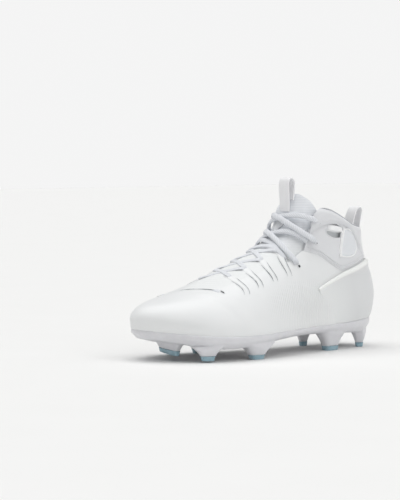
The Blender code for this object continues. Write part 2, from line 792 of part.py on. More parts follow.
# Heel counter: a cup over the heel, thickest at its lip and thinning to its leaning front edge.
across = np.linspace(-1, 1, COUNTER_COLUMNS)
shares, thick = COUNTER_SECTION.rows.T
front = COUNTER_FRONT_LOW + (COUNTER_FRONT_HIGH - COUNTER_FRONT_LOW) * shares
t = across[:, None] * around(front)[None, :]
low = LAST.at("feather", station_of(t)) + RIM_TOP + FIT + FACET / 2
high = COUNTER.at("high", station_of(t))
a = at_height(t, low + (high - low) * shares[None, :])
thin = 1 - COUNTER_EDGE_THIN * np.abs(across[:, None]) ** 4
overlay("heel_counter", t, a, thick[None, :] * thin, COUNTER_SHEET)

# Ankle cuff: wraps the ankle from one side of the throat round the heel to the other.
across = np.linspace(-1, 1, CUFF_COLUMNS)
shares, padding = CUFF_SECTION.rows.T
t = across[:, None] * around(CUFF_FRONT.at("station", shares))[None, :]
low = CUFF.at("low", station_of(t))
high = CUFF.at("high", station_of(t))
a = at_height(t, low + (high - low) * shares[None, :])
thin = 1 - CUFF_EDGE_THIN * np.abs(across[:, None]) ** 12
cuff = overlay("ankle_cuff", t, a, CUFF_THICK * padding[None, :] * thin, CUFF_CLOTH)
boolean(cuff, "DIFFERENCE", window)
boolean(cuff, "DIFFERENCE", cutter_of("tab_cutter", TAB, TAB_GROOVE, -HALF_WIDTH, HALF_WIDTH))

# Ankle tabs: cut between two lifts of the same form, filling the cuff's rounded cut-outs.
tab_reach = max(TAB["top"], TAB["half_long"]) + TAB_MARGIN
tab_steps = np.linspace(-tab_reach, tab_reach, TAB_GRID)
for name, side in (("ankle_tab_outer", 1), ("ankle_tab_inner", -1)):
    t = np.broadcast_to(side * around(TAB["station"] + tab_steps)[:, None], (TAB_GRID, TAB_GRID))
    a = at_height(t, np.broadcast_to(TAB["height"] + tab_steps[None, :], t.shape))
    tab = overlay(name, t, a, np.full(t.shape, TAB_THICK), CUFF_CLOTH)
    low_y, high_y = sorted((0.0, -side * HALF_WIDTH))
    boolean(tab, "INTERSECT", cutter_of(name + "_outline", TAB, 0.0, low_y, high_y))

# Tongue: under the throat's edges at its sides, rising level with them along the ridge.
sides = np.linspace(-1, 1, TONGUE_COLUMNS)
along = np.linspace(0, 1, TONGUE_ROWS) ** TONGUE_ROW_SPREAD
top_station = TONGUE_TOP - TONGUE_TOP_DROP * np.abs(sides) ** TONGUE_TOP_ROUND
stations = top_station[:, None] + (TONGUE_FRONT - top_station[:, None]) * along[None, :]
t = np.where(sides[:, None] < 0, around(stations), -around(stations))
edge = boot_edge(t)
low = boot_edge(np.sign(t) * around(np.maximum(stations, TONGUE_SIDE_STATION))) - TONGUE_OVERLAP
a = 1 - np.abs(sides[:, None]) * (1 - low)
clear = smoothstep((a - edge - TONGUE_OVERLAP / 2) / (TONGUE_RISE * (1 + TONGUE_OVERLAP / 2 - edge)))
hidden = -(WALL + FIT + FACET)
lift = hidden + (TONGUE_SHOWN_LIFT - hidden) * clear
thick = TONGUE_THICK_FRONT + (TONGUE_THICK_TOP - TONGUE_THICK_FRONT) * (1 - along[None, :]) ** 2
thick = thick * (1 - TONGUE_SIDE_THIN * np.abs(sides[:, None]) ** 6)
thick = thick * np.where(along[None, :] == 0, TONGUE_TOP_THIN, 1.0)
grid_solid("tongue", lifted(t, a, lift), lifted(t, a, lift - thick), KNIT)

# Badge: a thin plain label on the tongue, leaf shaped, under the upper laces.
sides = np.linspace(-1, 1, 7)
along = np.linspace(-1, 1, 5)
stations = BADGE_STATION + along[None, :] * BADGE_HALF_LONG * (1 - BADGE_POINT * sides[:, None] ** 2)
t = np.where(sides[:, None] < 0, around(stations), -around(stations))
a = np.broadcast_to(1 - BADGE_HALF_WIDE * np.abs(sides)[:, None], t.shape)
grid_solid(
    "tongue_badge",
    lifted(t, a, np.full(t.shape, BADGE_LIFT + BADGE_THICK)),
    lifted(t, a, np.full(t.shape, BADGE_LIFT)),
    LABEL,
)

strip_solid("tongue_pull_loop", TONGUE_LOOP, TONGUE_LOOP_WIDE, WEBBING)
strip_solid("heel_pull_loop", HEEL_LOOP, HEEL_LOOP_WIDE, WEBBING)

# Lacing: a bar at the toe end, then crossings, joined where they meet on the ridge and at the eyelets.
outer_eyelets = eyelet_places(0)
inner_eyelets = eyelet_places(1)
on_shell = LACE_THICK / 2 + FIT + FACET
on_cuff = on_shell + CUFF_THICK + FACET
bar = ridge_station(outer_eyelets[0], inner_eyelets[0])
lacing = lace_solid("lacing", outer_eyelets[0], bar, inner_eyelets[0], (on_shell,) * 3, CORD)
for i in range(len(EYELETS) - 1):
    low = on_cuff if EYELETS[i][2] else on_shell
    high = on_cuff if EYELETS[i + 1][2] else on_shell
    for start, end, at_start, at_end in (
        (outer_eyelets[i], inner_eyelets[i + 1], low, high),
        (outer_eyelets[i + 1], inner_eyelets[i], high, low),
    ):
        crossing, more = CROSSINGS.get(i) or (ridge_station(start, end), 0.0)
        lace = lace_solid("lace", start, crossing, end, (at_start, on_shell + more, at_end), CORD)
        lace.hide_render = True
        lace.display_type = "WIRE"
        boolean(lacing, "UNION", lace)
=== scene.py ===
"""Lacrosse cleat for the left foot: its looks, piece by piece in the order of making.

Sizes are in millimetres on the last until a mesh is written, which is in metres.
"""
import math

import bpy
import numpy as np
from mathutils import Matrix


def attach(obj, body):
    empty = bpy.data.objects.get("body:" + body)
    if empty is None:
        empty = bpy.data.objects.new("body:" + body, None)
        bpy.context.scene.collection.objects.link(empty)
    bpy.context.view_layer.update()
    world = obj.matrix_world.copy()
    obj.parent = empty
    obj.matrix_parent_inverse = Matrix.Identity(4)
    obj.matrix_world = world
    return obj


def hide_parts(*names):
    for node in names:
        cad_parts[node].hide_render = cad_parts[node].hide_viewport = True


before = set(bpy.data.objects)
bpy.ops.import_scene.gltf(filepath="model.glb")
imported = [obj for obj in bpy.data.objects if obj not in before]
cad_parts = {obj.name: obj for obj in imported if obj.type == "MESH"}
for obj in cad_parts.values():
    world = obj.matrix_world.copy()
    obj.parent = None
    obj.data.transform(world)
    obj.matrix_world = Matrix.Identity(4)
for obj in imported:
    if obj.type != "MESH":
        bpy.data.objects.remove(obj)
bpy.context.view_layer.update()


# SHELL. One bootee of white knit under a thin matt coating, about 2 mm thick, pulled over the last
# and turned under at the feather line, where the plate clasps it. It is open at the collar, along
# the throat and at the two ankle windows. The last's own sections shape every piece laid on it.
LENGTH, HEEL_X, SHIFT_Y = 284.0, 141.5, 0.4
SPINE_BACK, SPINE_FRONT = 38.0, 240.0
SHELL_WALL, SHELL_FOOT = 2.2, 4.8
TUCK, TOE_TUCK = 1.2, 3.0
LAST = {
    "station": (0, 4, 12, 25, 45, 70, 95, 120, 145, 170, 195, 215, 233, 249, 262, 273, 280, 284),
    "half_width": (0, 15.3, 24.6, 30.8, 34.2, 35, 34.8, 36.2, 40.8, 46.2, 50, 50.6, 47.6, 41.4, 33.6, 24.6,
                   15.4, 0),
    "centre": (0, 0, 0, 0, -0.2, -1.5, -3.2, -4.8, -5.2, -4.4, -2.2, 0.6, 4, 7, 9.5, 11.3, 12.3, 12.8),
    "feather": (30, 30, 29.7, 29, 27.5, 26.3, 25.5, 24.7, 24, 23.5, 23.4, 23.6, 24.4, 25.8, 27.2, 28.5, 29.4,
                30),
    "underside": (16, 15.5, 15.2, 15.2, 15.8, 17, 17.8, 17.6, 16.5, 14, 12, 11.5, 13, 16, 18.8, 21, 22.5, 23.5),
    "round_outer": (2.8, 2.8, 2.8, 2.75, 2.7, 2.6, 2.4, 2.2, 2.05, 1.95, 1.9, 1.92, 2.05, 2.15, 2.2, 2.2, 2.2,
                    2.2),
    "round_inner": (2.8, 2.8, 2.8, 2.75, 2.7, 2.6, 2.4, 2.25, 2.2, 2.2, 2.25, 2.2, 2.2, 2.2, 2.2, 2.2, 2.2, 2.2),
    "heel_pull": (1, 0.98, 0.92, 0.75, 0.5, 0.3, 0.12, 0, 0, 0, 0, 0, 0, 0, 0, 0, 0, 0),
}
RIDGE = {
    "station": (38, 70, 88, 98, 106, 115, 125, 137, 150, 180, 210, 240, 252),
    "height": (205, 192, 168, 151.5, 138, 124, 112.5, 103, 96, 82.5, 70, 61, 57.6),
    "shift": (0, 0, 0.5, 1, 1.3, 1.8, 2.3, 3, 3.5, 5, 6.5, 9.5, 10.6),
}
HEEL_LINE = {
    "height": (16, 25, 38, 52, 70, 88, 105, 121, 141, 210),
    "pull": (6, 4, 1.5, 0, 2.5, 8.8, 15, 15.8, 13.5, 8),
}
BOOT_EDGE = {
    "station": (0, 25, 38, 50, 62, 70, 78, 86, 94, 102, 112, 124),
    "height": (118.5, 120.5, 124, 129, 133.5, 134, 129.5, 119, 108.5, 102, 97.5, 94),
}
THROAT_FRONT = 262.0
THROAT = {
    "station": (112, 124, 150, 175, 197, 212, 222, 232, 242, 253, THROAT_FRONT),
    "outer": (0.76, 0.70, 0.58, 0.50, 0.46, 0.46, 0.45, 0.39, 0.30, 0.18, 0),
    "inner": (0.76, 0.68, 0.50, 0.39, 0.33, 0.29, 0.26, 0.22, 0.17, 0.10, 0),
}


def read(table, column, where, power=1):
    """A table's column at places along its first column, on a curve that never overshoots."""
    x = np.array(next(iter(table.values())), float)
    y = np.array(table[column], float) ** power
    gaps = np.diff(x)
    rise = np.diff(y) / gaps
    slope = np.concatenate([rise[:1], np.zeros(len(x) - 2), rise[-1:]])
    for i in range(1, len(x) - 1):
        if rise[i - 1] * rise[i] > 0:
            before, after = 2 * gaps[i] + gaps[i - 1], gaps[i] + 2 * gaps[i - 1]
            slope[i] = (before + after) / (before / rise[i - 1] + after / rise[i])
    where = np.clip(np.asarray(where, float), x[0], x[-1])
    i = np.clip(np.searchsorted(x, where) - 1, 0, len(x) - 2)
    s = (where - x[i]) / gaps[i]
    value = (
        y[i] * (1 + 2 * s) * (1 - s) ** 2
        + slope[i] * gaps[i] * s * (1 - s) ** 2
        + y[i + 1] * s * s * (3 - 2 * s)
        + slope[i + 1] * gaps[i] * s * s * (s - 1)
    )
    return np.maximum(value, 0) ** (1 / power) if power != 1 else value


def around(station):
    """Place round the last: 0 at the heel back, 1 at the toe tip, below 0 on the inner side."""
    return np.arccos(1 - 2 * np.clip(np.asarray(station, float), 0, LENGTH) / LENGTH) / math.pi


def station_of(t):
    return LENGTH * (1 - np.cos(math.pi * np.abs((np.asarray(t, float) + 1) % 2 - 1))) / 2


def smooth(value):
    value = np.clip(value, 0, 1)
    return value * value * (3 - 2 * value)


def face(t, a):
    """The shell's outer face: a is -1 at its bottom edge, 0 at the feather line, 1 at the ridge."""
    t, a = np.broadcast_arrays(np.asarray(t, float), np.asarray(a, float))
    station = station_of(t)
    outer = t % 2 < 1
    half = read(LAST, "half_width", station, 2) * np.where(outer, -1, 1)
    edge = np.stack([HEEL_X - station, SHIFT_Y + read(LAST, "centre", station) + half], -1)
    along = SPINE_BACK + (SPINE_FRONT - SPINE_BACK) * station / LENGTH
    spine = np.stack([HEEL_X - along, SHIFT_Y + read(RIDGE, "shift", along)], -1)
    full = np.where(outer, read(LAST, "round_outer", station), read(LAST, "round_inner", station))
    feather = read(LAST, "feather", station)
    angle = np.clip(a, 0, 1) * math.pi / 2
    inward = 1 - np.cos(angle) ** (2 / full)
    rise = np.sin(angle) ** (2 / full)
    below = np.clip(-a, 0, 1)
    foot = read(LAST, "underside", station) + SHELL_FOOT
    z = feather + rise * (read(RIDGE, "height", along) - feather) - below * (feather - foot)
    slope = (read(RIDGE, "height", along + 1) - read(RIDGE, "height", along - 1)) / 2
    z = z + slope * (spine - edge)[..., 0] * (1 - inward) * rise**6
    toe = smooth((station - 235) / 40)
    tuck = (TUCK + TOE_TUCK * toe) * np.clip(1 - (z - feather) / (12 + 6 * toe), 0, 1) ** 2
    pull = read(LAST, "heel_pull", station) * read(HEEL_LINE, "pull", z) + tuck + 4 * below**2
    share = inward + (1 - inward) * pull / np.linalg.norm(spine - edge, axis=-1)
    return np.concatenate([edge + (spine - edge) * share[..., None], z[..., None]], -1)


def outward(t, a):
    """The shell's outward direction; both sides share one at the ridge."""
    t, a = np.broadcast_arrays(np.asarray(t, float), np.asarray(a, float))
    b = np.clip(a, -0.99, 0.965)
    sides = []
    for turn in (t, -t):
        up = face(turn, b + 4e-3) - face(turn, b - 4e-3)
        on = face(turn + 2e-3, b) - face(turn - 2e-3, b)
        out = np.cross(up, on)
        sides.append(out / np.linalg.norm(out, axis=-1, keepdims=True))
    mix = np.clip((a - 0.965) / 0.035, 0, 1)[..., None] / 2
    out = sides[0] * (1 - mix) + sides[1] * mix
    return out / np.linalg.norm(out, axis=-1, keepdims=True)


def lift(t, a, height):
    return face(t, a) + outward(t, a) * np.asarray(height, float)[..., None]


def at_height(t, height):
    """How far up the shell a height is reached."""
    t, height = np.broadcast_arrays(np.asarray(t, float), np.asarray(height, float))
    steps = np.linspace(0, 1, 121)
    heights = face(t.reshape(-1)[:, None], steps)[..., 2]
    found = [np.interp(h, row, steps) for h, row in zip(height.reshape(-1), heights)]
    return np.reshape(found, t.shape)


def boot_edge(t):
    """The shell's top edge: by height round the ankle, by share of the wall along the throat."""
    station = station_of(t)
    mix = np.clip((station - 112) / 12, 0, 1)
    outer = np.asarray(t) % 2 < 1
    full = np.where(outer, read(LAST, "round_outer", station), read(LAST, "round_inner", station))
    gap = np.where(outer, read(THROAT, "outer", station, 2), read(THROAT, "inner", station, 2))
    by_gap = np.arccos(np.clip(gap, 0, 1) ** (full / 2)) * 2 / math.pi
    edge = at_height(t, read(BOOT_EDGE, "height", station)) * (1 - mix) + by_gap * mix
    return np.where(station > THROAT_FRONT - 0.01, 1.0, edge)


def lay(name, across, along, pattern):
    """A flat grid of cloth moved to where its pattern puts it, from shares across and along."""
    bpy.ops.object.select_all(action="DESELECT")
    bpy.ops.mesh.primitive_grid_add(x_subdivisions=across, y_subdivisions=along, size=1.0)
    piece = bpy.context.object
    piece.name = piece.data.name = name
    flat = np.empty(len(piece.data.vertices) * 3, np.float32)
    piece.data.vertices.foreach_get("co", flat)
    flat = flat.reshape(-1, 3).astype(float)
    points = pattern(flat[:, 0] + 0.5, flat[:, 1] + 0.5) * 0.001
    piece.data.vertices.foreach_set("co", points.astype(np.float32).ravel())
    bpy.ops.object.mode_set(mode="EDIT")
    bpy.ops.mesh.select_all(action="SELECT")
    bpy.ops.mesh.remove_doubles(threshold=2e-6)
    bpy.ops.mesh.dissolve_degenerate(threshold=2e-6)
    bpy.ops.object.mode_set(mode="OBJECT")
    bpy.ops.object.shade_smooth()
    return piece


def turn_faces(piece, recalculate=False):
    """Turns a laid piece's faces over, or outward where it is closed."""
    bpy.context.view_layer.objects.active = piece
    bpy.ops.object.mode_set(mode="EDIT")
    bpy.ops.mesh.select_all(action="SELECT")
    if recalculate:
        bpy.ops.mesh.normals_make_consistent(inside=False)
    else:
        bpy.ops.mesh.flip_normals()
    bpy.ops.object.mode_set(mode="OBJECT")


def apply(piece, kind, **settings):
    """Adds a modifier with its settings and applies it."""
    bpy.context.view_layer.objects.active = piece
    step = piece.modifiers.new(kind.lower(), kind)
    for key, value in settings.items():
        setattr(step, key, value)
    bpy.ops.object.modifier_apply(modifier=step.name)


def spot(side, station, height):
    """Places round and up the shell of points given by their own station and height."""
    guess = np.array(station, float)
    for _ in range(4):
        t = side * around(guess)
        a = at_height(t, height)
        guess = guess + station - (HEEL_X - face(t, a)[..., 0])
    return side * around(guess), a


def line_on(side, stops, steps=40):
    """Places round and up the shell on a line through stops of station and height."""
    stops = np.array(stops, float)
    at = np.linspace(0, len(stops) - 1, steps)
    return spot(side, *(np.interp(at, range(len(stops)), stops[:, k]) for k in (0, 1)))


# Soft folds of the shell: side, ends as station and height, half width and depth; a swell is below 0.
SHELL_FOLDS = [
    (1, [(226, 60), (214, 49), (206, 36)], 6.0, 0.45),
    (1, [(206, 66), (198, 54), (190, 40)], 6.5, 0.4),
    (-1, [(224, 58), (214, 48), (207, 36)], 6.5, 0.6),
    (-1, [(206, 62), (198, 52), (192, 40)], 6.5, 0.5),
    (1, [(231, 62.5), (220, 62), (207, 60)], 3.0, -0.5),
    (1, [(282, 35.5), (272, 35), (256, 33), (236, 31)], 4.5, 1.2),
    (-1, [(282, 35.5), (272, 35), (256, 33), (236, 31)], 4.5, 1.2),
    (1, [(124, 84), (112, 72), (104, 60)], 7.0, 0.5),
    (-1, [(124, 82), (112, 70), (104, 58)], 7.0, 0.5),
    (1, [(112, 92), (98, 88), (80, 79)], 4.0, 0.4),
]


def shell_pattern(u, v):
    t = 2 * u
    columns, which = np.unique(np.round(t, 6), return_inverse=True)
    top = boot_edge(columns)[which.reshape(-1)]
    a = np.where(v < 0.06, v / 0.06 - 1, top * (v - 0.06) / 0.94)
    points = face(t, a)
    sink = np.zeros(len(t))
    for side, stops, half_width, depth in SHELL_FOLDS:
        fold = face(*line_on(side, stops, 30))
        off = np.linalg.norm(points[:, None] - fold[None], axis=2)
        near = off.argmin(1)
        fade = np.sin(math.pi * np.clip((near + 0.5) / 30, 0.02, 0.98)) ** 0.7
        sink += depth * fade * np.exp(-((off.min(1) / half_width) ** 2) * 2)
    return points - outward(t, a) * sink[:, None]


def hex_colour(code):
    """An sRGB hex value as linear red, green, blue and alpha."""
    parts = [int(code[i : i + 2], 16) / 255 for i in (1, 3, 5)]
    return [*(p / 12.92 if p <= 0.04045 else ((p + 0.055) / 1.055) ** 2.4 for p in parts), 1.0]


def node(tree, kind, settings, links=None):
    """Adds a node: settings and links are named by socket, or by property."""
    made = tree.nodes.new(kind)
    for key, value in settings.items():
        if isinstance(key, int) or key in made.inputs:
            made.inputs[key].default_value = value
        else:
            setattr(made, key, value)
    for key, source in (links or {}).items():
        tree.links.new(source, made.inputs[key])
    return made


def new_material(name):
    """A material with its node tree, shader and texture coordinates."""
    made = bpy.data.materials.new(name)
    made.use_nodes = True
    tree = made.node_tree
    return made, tree, tree.nodes["Principled BSDF"], node(tree, "ShaderNodeTexCoord", {})


def mottle(tree, place, size, detail=2.0):
    """Soft clouds of a size in metres."""
    return node(tree, "ShaderNodeTexNoise", {"Scale": 1 / size, "Detail": detail}, {"Vector": place.outputs["Object"]})


WAVE_PERIOD = 2 * math.pi / 20


def ribbing(tree, place, direction, apart, waver=0.0, waver_scale=1.0):
    """Ribs some metres apart that waver a little; a wave texture at scale 1 repeats every WAVE_PERIOD."""
    settings = {"bands_direction": direction, "Scale": WAVE_PERIOD / apart, "Distortion": waver,
                "Detail Scale": waver_scale}
    return node(tree, "ShaderNodeTexWave", settings, {"Vector": place.outputs["Object"]})


def two_tones(tree, low, high, share):
    """A colour between two hex values, by a texture's share."""
    return node(tree, "ShaderNodeMix", {"data_type": "RGBA", 6: hex_colour(low), 7: hex_colour(high)}, {0: share})


def relief(tree, height, strength, deep):
    """A bump from a texture's output, some metres deep."""
    return node(tree, "ShaderNodeBump", {"Strength": strength, "Distance": deep}, {"Height": height})


def dress(tree, shader, finish):
    """Gives the shader its finish by socket: a constant value, or another node's output."""
    for key, value in finish.items():
        if isinstance(value, bpy.types.NodeSocket):
            tree.links.new(value, shader.inputs[key])
        else:
            shader.inputs[key].default_value = value


# Coated knit: a thin matt film over a fine knit. The film evens out the loops, so the eye gets a
# smooth pale skin with a slight grain; the grain of 0.6 mm is drawn at 1.8 mm, so that it shows. Knit ribs
# come through faintly on the outer quarter.
coated_knit, tree, shader, place = new_material("coated_knit")
grain = mottle(tree, place, 0.0018, 3.0)
cloud = mottle(tree, place, 0.05)
tone = two_tones(tree, "#E6E8E9", "#EFF0F0", cloud.outputs["Fac"])
gloss = node(tree, "ShaderNodeMapRange", {"To Min": 0.40, "To Max": 0.52}, {"Value": grain.outputs["Fac"]})
dents = relief(tree, grain.outputs["Fac"], 0.10, 0.0004)
quarter = node(tree, "ShaderNodeMapping", {"vector_type": "TEXTURE", "Location": (0.03, -0.03, 0.045),
                                           "Scale": (0.075, 0.04, 0.032)}, {"Vector": place.outputs["Object"]})
field = node(tree, "ShaderNodeTexGradient", {"gradient_type": "SPHERICAL"}, {"Vector": quarter.outputs["Vector"]})
ribs = ribbing(tree, place, "X", 0.0026)
raised = node(tree, "ShaderNodeMath", {"operation": "MULTIPLY"}, {0: ribs.outputs["Fac"], 1: field.outputs["Fac"]})
ribbed = node(tree, "ShaderNodeBump", {"Strength": 0.8, "Distance": 0.0008},
              {"Height": raised.outputs["Value"], "Normal": dents.outputs["Normal"]})
dress(tree, shader, {"Base Color": tone.outputs[2], "Roughness": gloss.outputs["Result"],
                     "Normal": ribbed.outputs["Normal"], "Sheen Weight": 0.1})

# Lining: soft brushed knit against the foot, a shade greyer than the shell; ribs drawn at 2 mm.
lining_knit, tree, shader, place = new_material("brushed_lining_knit")
ribs = ribbing(tree, place, "Z", 0.002, 0.6)
tone = two_tones(tree, "#D9DCE0", "#EBEDEF", ribs.outputs["Fac"])
loops = relief(tree, ribs.outputs["Fac"], 0.3, 0.0005)
dress(tree, shader, {"Base Color": tone.outputs[2], "Normal": loops.outputs["Normal"], "Roughness": 0.9,
                     "Sheen Weight": 0.3})

shell = lay("shell", 260, 50, shell_pattern)
turn_faces(shell)
shell.data.materials.append(coated_knit)
shell.data.materials.append(lining_knit)
apply(shell, "SOLIDIFY", thickness=SHELL_WALL * 0.001, offset=-1.0, material_offset=1)
apply(shell, "BEVEL", width=0.0007, segments=2, limit_method="ANGLE", angle_limit=1.0)

# Ankle window, a half moon through cuff and shell: middle, half length, and how far up and down.
WINDOW = {"station": 67.5, "height": 115.5, "half_long": 11.8, "top": 9.0, "bottom": 4.6, "lean": 8.0}


def window_outline(turn, grow):
    """Station and height on the window's edge at a turn, for an edge grown by some millimetres."""
    long = (WINDOW["half_long"] + grow) * np.cos(turn)
    tall = np.where(np.sin(turn) > 0, WINDOW["top"], WINDOW["bottom"]) + grow
    tall = tall * np.sin(turn)
    lean = math.radians(WINDOW["lean"])
    return (
        WINDOW["station"] + long * math.cos(lean) - tall * math.sin(lean),
        WINDOW["height"] + long * math.sin(lean) + tall * math.cos(lean),
    )


def cut_window(piece, grow):
    """Cuts both windows out of a piece with an oval punch that goes right across."""
    bpy.ops.object.select_all(action="DESELECT")
    bpy.ops.mesh.primitive_cylinder_add(vertices=56, radius=1, depth=0.16, rotation=(math.pi / 2, 0, 0))
    punch = bpy.context.object
    bpy.ops.object.transform_apply(rotation=True)
    for vertex in punch.data.vertices:
        station, height = window_outline(math.atan2(vertex.co.z, vertex.co.x), grow)
        vertex.co = ((HEEL_X - station) * 0.001, vertex.co.y, height * 0.001)
    turn_faces(punch, recalculate=True)
    apply(piece, "BOOLEAN", operation="DIFFERENCE", solver="EXACT", object=punch)
    bpy.data.objects.remove(punch)


def soften(piece, degrees):
    """Smooth shading, apart from edges sharper than an angle."""
    bpy.ops.object.select_all(action="DESELECT")
    piece.select_set(True)
    bpy.ops.object.shade_smooth_by_angle(angle=math.radians(degrees))


def fit(piece, stands_for=None):
    """Fixes a piece to the shoe and the solid that it stands for."""
    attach(piece, "root")
    if stands_for:
        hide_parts(stands_for)


cut_window(shell, 1.2)
soften(shell, 50)
fit(shell, "upper")


# PLATE. The sole, moulded in one shot of stiff plastic: a rim that clasps the shell, a hollow
# underside with toe spring and arch, and a stem for each stud that flares into the plate.
PLATE_THICK = 4.5
FIT = 0.3
# Studs: station, across, foot's height off the floor, its length and width, turn about the upright, how
# strongly the stud widens upward, and the foot's rise for each millimetre to the inner side.
STUDS = {
    "toe": (247.5, 5.0, 6.1, 28.5, 7.0, 86.0, 0.8, 0.09),
    "fore_outer": (233.0, -34.0, 1.6, 12.0, 8.0, -25.0, 1.0, 0.0),
    "fore_inner": (217.0, 38.0, 1.6, 12.0, 8.0, 5.0, 1.0, 0.0),
    "ball_outer": (179.0, -41.0, 0.0, 13.8, 9.2, -4.0, 1.0, 0.0),
    "ball_inner": (185.0, 36.0, 0.0, 13.8, 9.2, -13.0, 1.0, 0.0),
    "heel_front_outer": (68.0, -23.5, 0.0, 16.5, 10.2, 2.0, 0.5, 0.0),
    "heel_front_inner": (61.5, 23.0, 0.0, 7.5, 5.5, -2.0, 0.45, 0.0),
    "heel_rear_outer": (23.0, -18.0, 0.0, 7.0, 6.0, -30.0, 0.4, 0.0),
    "heel_rear_inner": (23.5, 18.0, 0.0, 7.0, 6.0, 30.0, 0.4, 0.0),
}
TIP_TALL = 4.2


def sole_lines(t):
    """The rim in plan, the way in from it to the spine, and how far that is."""
    rim = face(t, np.zeros(len(t)))[:, :2]
    along = SPINE_BACK + (SPINE_FRONT - SPINE_BACK) * station_of(t) / LENGTH
    spine = np.stack([HEEL_X - along, SHIFT_Y + read(RIDGE, "shift", along)], -1)
    run = np.linalg.norm(spine - rim, axis=1)
    return rim, (spine - rim) / run[:, None], run


def sole_ring(t, inset, height=None, over=0.0):
    """A ring round the sole, some way in from the rim, at a height or over the underside there."""
    rim, inward, run = sole_lines(t)
    flat = rim + inward * np.minimum(np.broadcast_to(inset, run.shape), run)[:, None]
    if height is None:
        height = read(LAST, "underside", HEEL_X - flat[:, 0]) + over
    return np.concatenate([flat, np.broadcast_to(height, run.shape)[:, None]], 1)


def through_rings(rings_of):
    """A pattern whose rows are rings round the sole, each worked out at the grid's columns."""
    def pattern(u, v):
        columns, which = np.unique(np.round(2 * u, 6), return_inverse=True)
        rings = np.array(rings_of(columns))
        return rings[np.round(v * (len(rings) - 1)).astype(int), which.reshape(-1)]
    return pattern


def plate_rings(t):
    """From the middle of the underside out to the rim, over it and down inside to the middle again."""
    station = station_of(t)
    _, inward, run = sole_lines(t)
    feather, under = read(LAST, "feather", station), read(LAST, "underside", station)
    deep = feather - under
    edge = 4.0 + 0.12 * deep
    groove = face(t, np.full(len(t), -0.5))
    groove[:, :2] += inward * 0.4
    foot = face(t, np.full(len(t), -1.0)) - [0, 0, FIT]
    bulge = 1 - 0.7 * smooth((station - 245) / 30)
    return [
        sole_ring(t, np.inf, over=1.0),
        sole_ring(t, run * 0.55, over=0.8),
        sole_ring(t, edge + 3.0),
        sole_ring(t, edge, over=0.3),
        sole_ring(t, edge * 0.45, under + 0.22 * deep),
        sole_ring(t, -0.5 * bulge, under + 0.5 * deep),
        sole_ring(t, -1.5 * bulge, under + 0.84 * deep),
        sole_ring(t, -1.0 * bulge, feather + 0.6),
        sole_ring(t, 0.8, feather + 0.6),
        groove,
        foot,
        sole_ring(t, run * 0.5, over=PLATE_THICK),
        sole_ring(t, np.inf, over=PLATE_THICK),
    ]


def stud_head(stud):
    return float(read(LAST, "underside", STUDS[stud][0])) + 2.2


def stud_rows(stud, rows):
    """A pattern of rounded oblongs that widen upward: height and trim of each row, None for a closed end."""
    station, across, tip, long, wide, turn, flare, tilt = STUDS[stud]
    lean, head = math.radians(turn), stud_head(stud)

    def pattern(u, v):
        row = np.round(v * (len(rows) - 1)).astype(int)
        height, trim = (np.array([pair[k] or 0.0 for pair in rows], float)[row] for k in (0, 1))
        shown = np.array([pair[1] is not None for pair in rows])[row]
        high = height - tip
        grow = flare * (0.08 * high + 0.05 * high**2) - trim
        c, s = np.cos(2 * math.pi * u), np.sin(2 * math.pi * u)
        x = np.sign(c) * np.abs(c) ** (2 / 3.4) * (long / 2 + grow) * shown
        y = np.sign(s) * np.abs(s) ** (2 / 3.4) * (wide / 2 + grow / 2) * shown
        inner = x * math.sin(lean) + y * math.cos(lean)
        own = station - x * math.cos(lean) + y * math.sin(lean)
        centre = read(LAST, "centre", own)
        room = read(LAST, "half_width", own, 2) - 2.6 - 4.5 * read(LAST, "heel_pull", own)
        off = np.clip(across + inner - centre, -room, room)
        rise = tilt * inner * (1 - high / (head - tip))
        return np.stack([HEEL_X - own, SHIFT_Y + centre + off, height + rise], -1)
    return pattern


# Moulded plate: stiff plastic with a lilac cast, satin from a fine-sanded mould, so highlights are
# broad and soft; a slight mottle of 6 mm stands for the flow of the plastic.
plate_plastic, tree, shader, place = new_material("moulded_plate_plastic")
flow = mottle(tree, place, 0.006)
tone = two_tones(tree, "#D6D6DA", "#E0E0E3", flow.outputs["Fac"])
gloss = node(tree, "ShaderNodeMapRange", {"To Min": 0.26, "To Max": 0.38}, {"Value": flow.outputs["Fac"]})
dress(tree, shader, {"Base Color": tone.outputs[2], "Roughness": gloss.outputs["Result"], "Coat Weight": 0.15,
                     "Coat Roughness": 0.3})

plate = lay("plate", 200, 12, through_rings(plate_rings))
turn_faces(plate, recalculate=True)
stems = []
for stud, (_, _, tip, *_) in STUDS.items():
    heights = np.linspace(tip + TIP_TALL, stud_head(stud), 14)
    rows = [(heights[0], None), *((height, 0) for height in heights), (heights[-1], None)]
    stem = lay("stem_" + stud, 48, len(rows) - 1, stud_rows(stud, rows))
    turn_faces(stem, recalculate=True)
    stems.append(stem)
bpy.ops.object.select_all(action="DESELECT")
for piece in (*stems, plate):
    piece.select_set(True)
bpy.context.view_layer.objects.active = plate
bpy.ops.object.join()
apply(plate, "REMESH", mode="VOXEL", voxel_size=0.0009, use_smooth_shade=True)
apply(plate, "SMOOTH", factor=0.5, iterations=6)
apply(plate, "DECIMATE", ratio=0.5)
plate.data.materials.clear()
plate.data.materials.append(plate_plastic)
fit(plate, "outsole_plate")


# STUD TIPS. Nine caps of ice-blue plastic, moulded on under the stems; a long blade at the toe,
# small rounded oblongs elsewhere. Their edges are rounded and they are the only colour of the shoe.
# Tinted tip plastic: translucent, so its edges look lighter and its body deeper in colour.
tip_plastic, tree, shader, place = new_material("tinted_tip_plastic")
haze = mottle(tree, place, 0.003)
tone = two_tones(tree, "#8CABB8", "#A5C0CB", haze.outputs["Fac"])
dress(tree, shader, {"Base Color": tone.outputs[2], "Roughness": 0.25, "Subsurface Weight": 0.3,
                     "Subsurface Radius": (0.002, 0.003, 0.003), "Subsurface Scale": 1.0})

